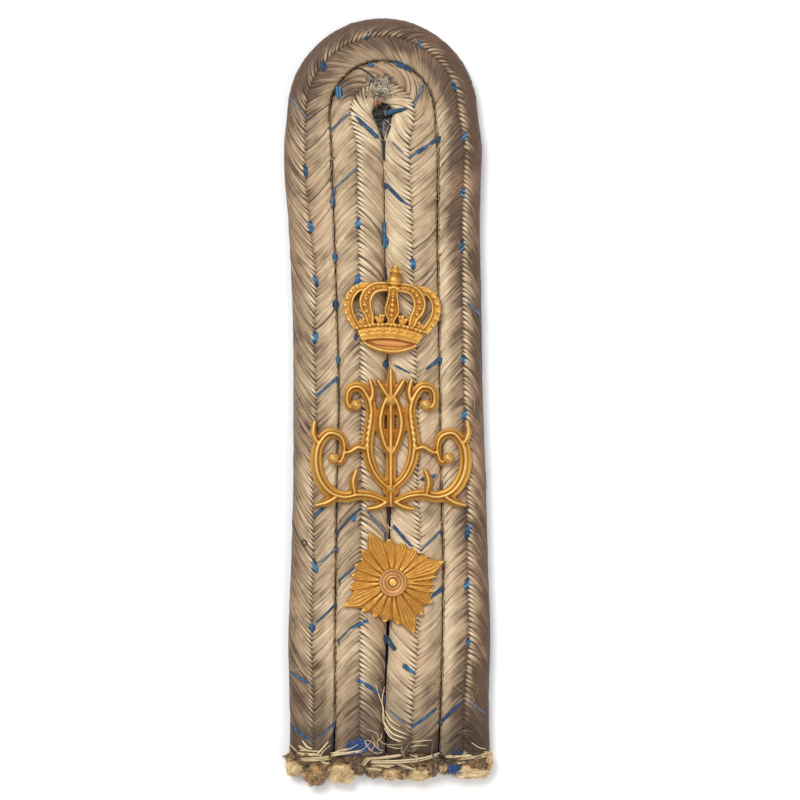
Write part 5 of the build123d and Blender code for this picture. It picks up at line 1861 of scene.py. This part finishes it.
@dataclass
class RankStar(Badge):
    """Four-pointed star of ridged rays, with long broad rays in its corners."""

    name: str = "gilt_rank_star"
    node: str = "rank_star"
    voxel: float = 0.085
    rounds: int = 1
    place: Pair = (0.9, 28.48)
    corners: tuple[Pair, ...] = ((115.4, 9.1), (22.4, 9.1), (-67.6, 9.2), (206.2, 9.0))
    tips: Table = (
        (95.9, 7.15), (74.2, 6.75), (56.3, 6.65), (37.2, 7.3), (8.3, 7.25), (-2.6, 6.75), (-11.8, 6.85),
        (-26.8, 7.2), (-48.1, 7.15), (-83, 7.1), (257.4, 6.7), (240.8, 6.55), (223.2, 7.05), (187.2, 7.3),
        (170.3, 6.9), (155, 6.85), (133.6, 7.35))
    corner_spread: float = 13.0
    middle_top: float = 1.15
    rim_top: float = 0.66

    def sectors(self) -> list[tuple[float, float, float, float, bool]]:
        """Angle and radius of each ray's tip, its sector's middle and half angle, and if it is a corner."""
        rays = sorted((a % 360, r, table is self.corners) for table in (self.corners, self.tips)
                      for a, r in table)
        rows = []
        for k, (angle, radius, corner) in enumerate(rays):
            sides = []
            for other, way in ((rays[k - 1], -1), (rays[(k + 1) % len(rays)], 1)):
                gap = (other[0] - angle) * way % 360
                sides.append(self.corner_spread if corner else
                             gap - self.corner_spread if other[2] else gap / 2)
            rows.append((angle, radius, angle + (sides[1] - sides[0]) / 2, sum(sides) / 2, corner))
        return rows

    def ray(self, c: Casting, tip: float, radius: float, middle: float, half: float, corner: bool) -> None:
        """Adds one ray, which fills its sector and ends in its tip, with fine ridges along it."""
        out = np.append(np.linspace(0.12, 0.86, 12), np.linspace(0.89, 1.0, 6))
        reach = out * radius
        bend = np.clip((out - 0.55) / 0.45, 0, 1) ** 1.5
        angle = np.radians(middle + (tip - middle) * bend)
        full = np.tan(math.radians(half)) * reach * 1.04
        start, blunt = (0.72, 1.0) if corner else (0.86, 0.55)
        width = full * np.clip((1 - out) / (1 - start), 0, 1) ** blunt
        width = np.where(out < start, full, np.maximum(width, 0.05))
        top = self.middle_top + (self.rim_top - self.middle_top) * out + (0.10 if corner else 0.0)
        runs = np.stack([np.cos(angle), np.sin(angle)], 1)
        line = runs * reach[:, None]
        across = np.stack([-runs[:, 1], runs[:, 0]], 1)
        c.sweep(line, width, 0.0, top)
        shares = (-0.62, -0.22, 0.22, 0.62) if corner else ((-0.5, 0.0, 0.5) if half > 6 else (-0.35, 0.35))
        for share in shares:
            rise = 0.19 * (1 - 0.5 * share**2) - 0.22 * share**2 * (1 - out)
            c.sweep(line + across * (width * share)[:, None], np.maximum(width * 0.13, 0.09), 0.2, top + rise)

    def build(self, material: Material) -> Piece:
        """Makes the star."""
        c = Casting()
        for sector in self.sectors():
            self.ray(c, *sector)
        c.turned([(0.0, 0.0), (6.2, 0.0), (6.2, 0.30), (2.6, 0.78), (0.0, 0.80)])
        return self.finished(c, material)


@dataclass
class StarBoss(Badge):
    """Ringed boss in the middle of the star, with a beaded rim."""

    name: str = "ringed_boss"
    node: str = "star_boss"
    slot: str = "boss_metal"
    voxel: float = 0.06
    rounds: int = 1
    place: Pair = (0.9, 28.48)
    foot: float = 1.15
    radius: float = 2.36
    beads: int = 38
    # rows of radius, as a share, and of height above the foot
    profile: Table = (
        (0, -0.35), (1, -0.35), (1, 0.36), (0.97, 0.58), (0.9, 0.7), (0.82, 0.66), (0.76, 0.46),
        (0.62, 0.44), (0.56, 0.32), (0.52, 0.38), (0.48, 0.64), (0.42, 0.68), (0.37, 0.6), (0.34, 0.36),
        (0.3, 0.38), (0.27, 0.66), (0.17, 0.75), (0, 0.78))

    def build(self, material: Material) -> Piece:
        """Makes the boss."""
        c = Casting()
        r, z = self.radius, self.foot
        c.turned([(r * out, z + up) for out, up in self.profile], 72)
        for k in range(self.beads):
            a = 2 * math.pi * k / self.beads
            c.ball(math.cos(a) * r * 0.90, math.sin(a) * r * 0.90, z + 0.64, 0.15)
        self.pins(c, 0.0)
        return self.finished(c, material, ((0.0, 0.0, r * 0.26, r * 0.26),))


# Studio


@dataclass
class Studio:
    """Pale floor, soft light from above and the camera straight above the board."""

    distance: float = 0.9
    covered: float = 0.13245
    centre: Pair = (0.00214, 0.00016)
    focus_height: float = 0.003
    floor_half: float = 1.5

    def build(self) -> None:
        """Makes the camera, the floor and the lights."""
        scene = bpy.context.scene
        scene.view_settings.view_transform = "Standard"
        camera = linked("camera", bpy.data.cameras.new("camera"))
        camera.data.sensor_width = 36.0
        camera.data.lens = 36.0 * self.distance / self.covered
        camera.data.clip_start, camera.data.clip_end = 0.01, 10.0
        camera.location = (*self.centre, self.distance + self.focus_height)
        scene.camera = camera
        self.floor()
        self.light("key", (-0.28, 0.42, 0.75), 0.45, 6.4)
        self.light("fill", (0.45, -0.25, 0.65), 0.6, 2.4)
        world = bpy.data.worlds.new("studio")
        world.use_nodes = True
        sky = world.node_tree.nodes["Background"].inputs
        sky["Color"].default_value, sky["Strength"].default_value = (1.0, 1.0, 1.0, 1.0), 0.42
        scene.world = world

    def floor(self) -> None:
        """Makes the floor."""
        bm = bmesh.new()
        bmesh.ops.create_grid(bm, x_segments=1, y_segments=1, size=self.floor_half)
        mesh = bpy.data.meshes.new("floor")
        bm.to_mesh(mesh)
        bm.free()
        graph = Graph("white_floor")
        mesh.materials.append(graph.surface(Base_Color=(0.985, 0.985, 0.985, 1.0), Roughness=0.95))
        linked("floor", mesh)

    def light(self, name: str, place: Triple, size: float, power: float) -> None:
        """Makes a soft square light that points at the board.

        Args:
            name: its name.
            place: where it stands.
            size: its side.
            power: its power in watts.
        """
        lamp = bpy.data.lights.new(name, "AREA")
        lamp.shape, lamp.size, lamp.energy = "SQUARE", size, power
        made = linked(name, lamp)
        made.location = place
        made.rotation_euler = (-Vector(place)).to_track_quat("-Z", "Y").to_euler()


def main() -> None:
    """Builds the board's looks, piece by piece."""
    logging.basicConfig(level=logging.INFO, format="%(name)s %(message)s")
    Studio().build()
    board = Board()
    braid = BraidFinish().build()
    for layer, seed in ((Layer.OUTER, 11), (Layer.INNER, 23)):
        BraidCord(board, layer, seed=seed).build(braid)
    gilt = GiltFinish().build()
    for badge in (Crown, Scroll, RankStar):
        badge(board).build(gilt)
    # as in the gilt, the first colour here is a painted highlight and the third painted shade
    coppery = GiltFinish("coppery_gilt", srgb(238, 202, 146), srgb(196, 146, 92), srgb(138, 92, 50),
                         srgb(234, 190, 92), 0.52, 0.7)
    StarBoss(board).build(coppery.build())
    Cloth(board).build(WoolFinish().build())
    ground = Ground(board)
    blue, faded, cotton, straw, brown, dark, wool, grey, red, fuzz = (finish.build() for finish in FIBRES)
    BlueThreads(ground).build(blue, faded)
    for k, (leg, rows) in enumerate(WADDING.items()):
        Wadding(leg, rows, seed=60 + k).build(cotton)
    StrayThreads(ground).build(straw, dark)
    Stitches(board).build(straw)
    CutEnd().build(straw, brown, wool)
    FrayedKnot(ground).build(grey, red, fuzz)


if __name__ == "__main__":
    main()
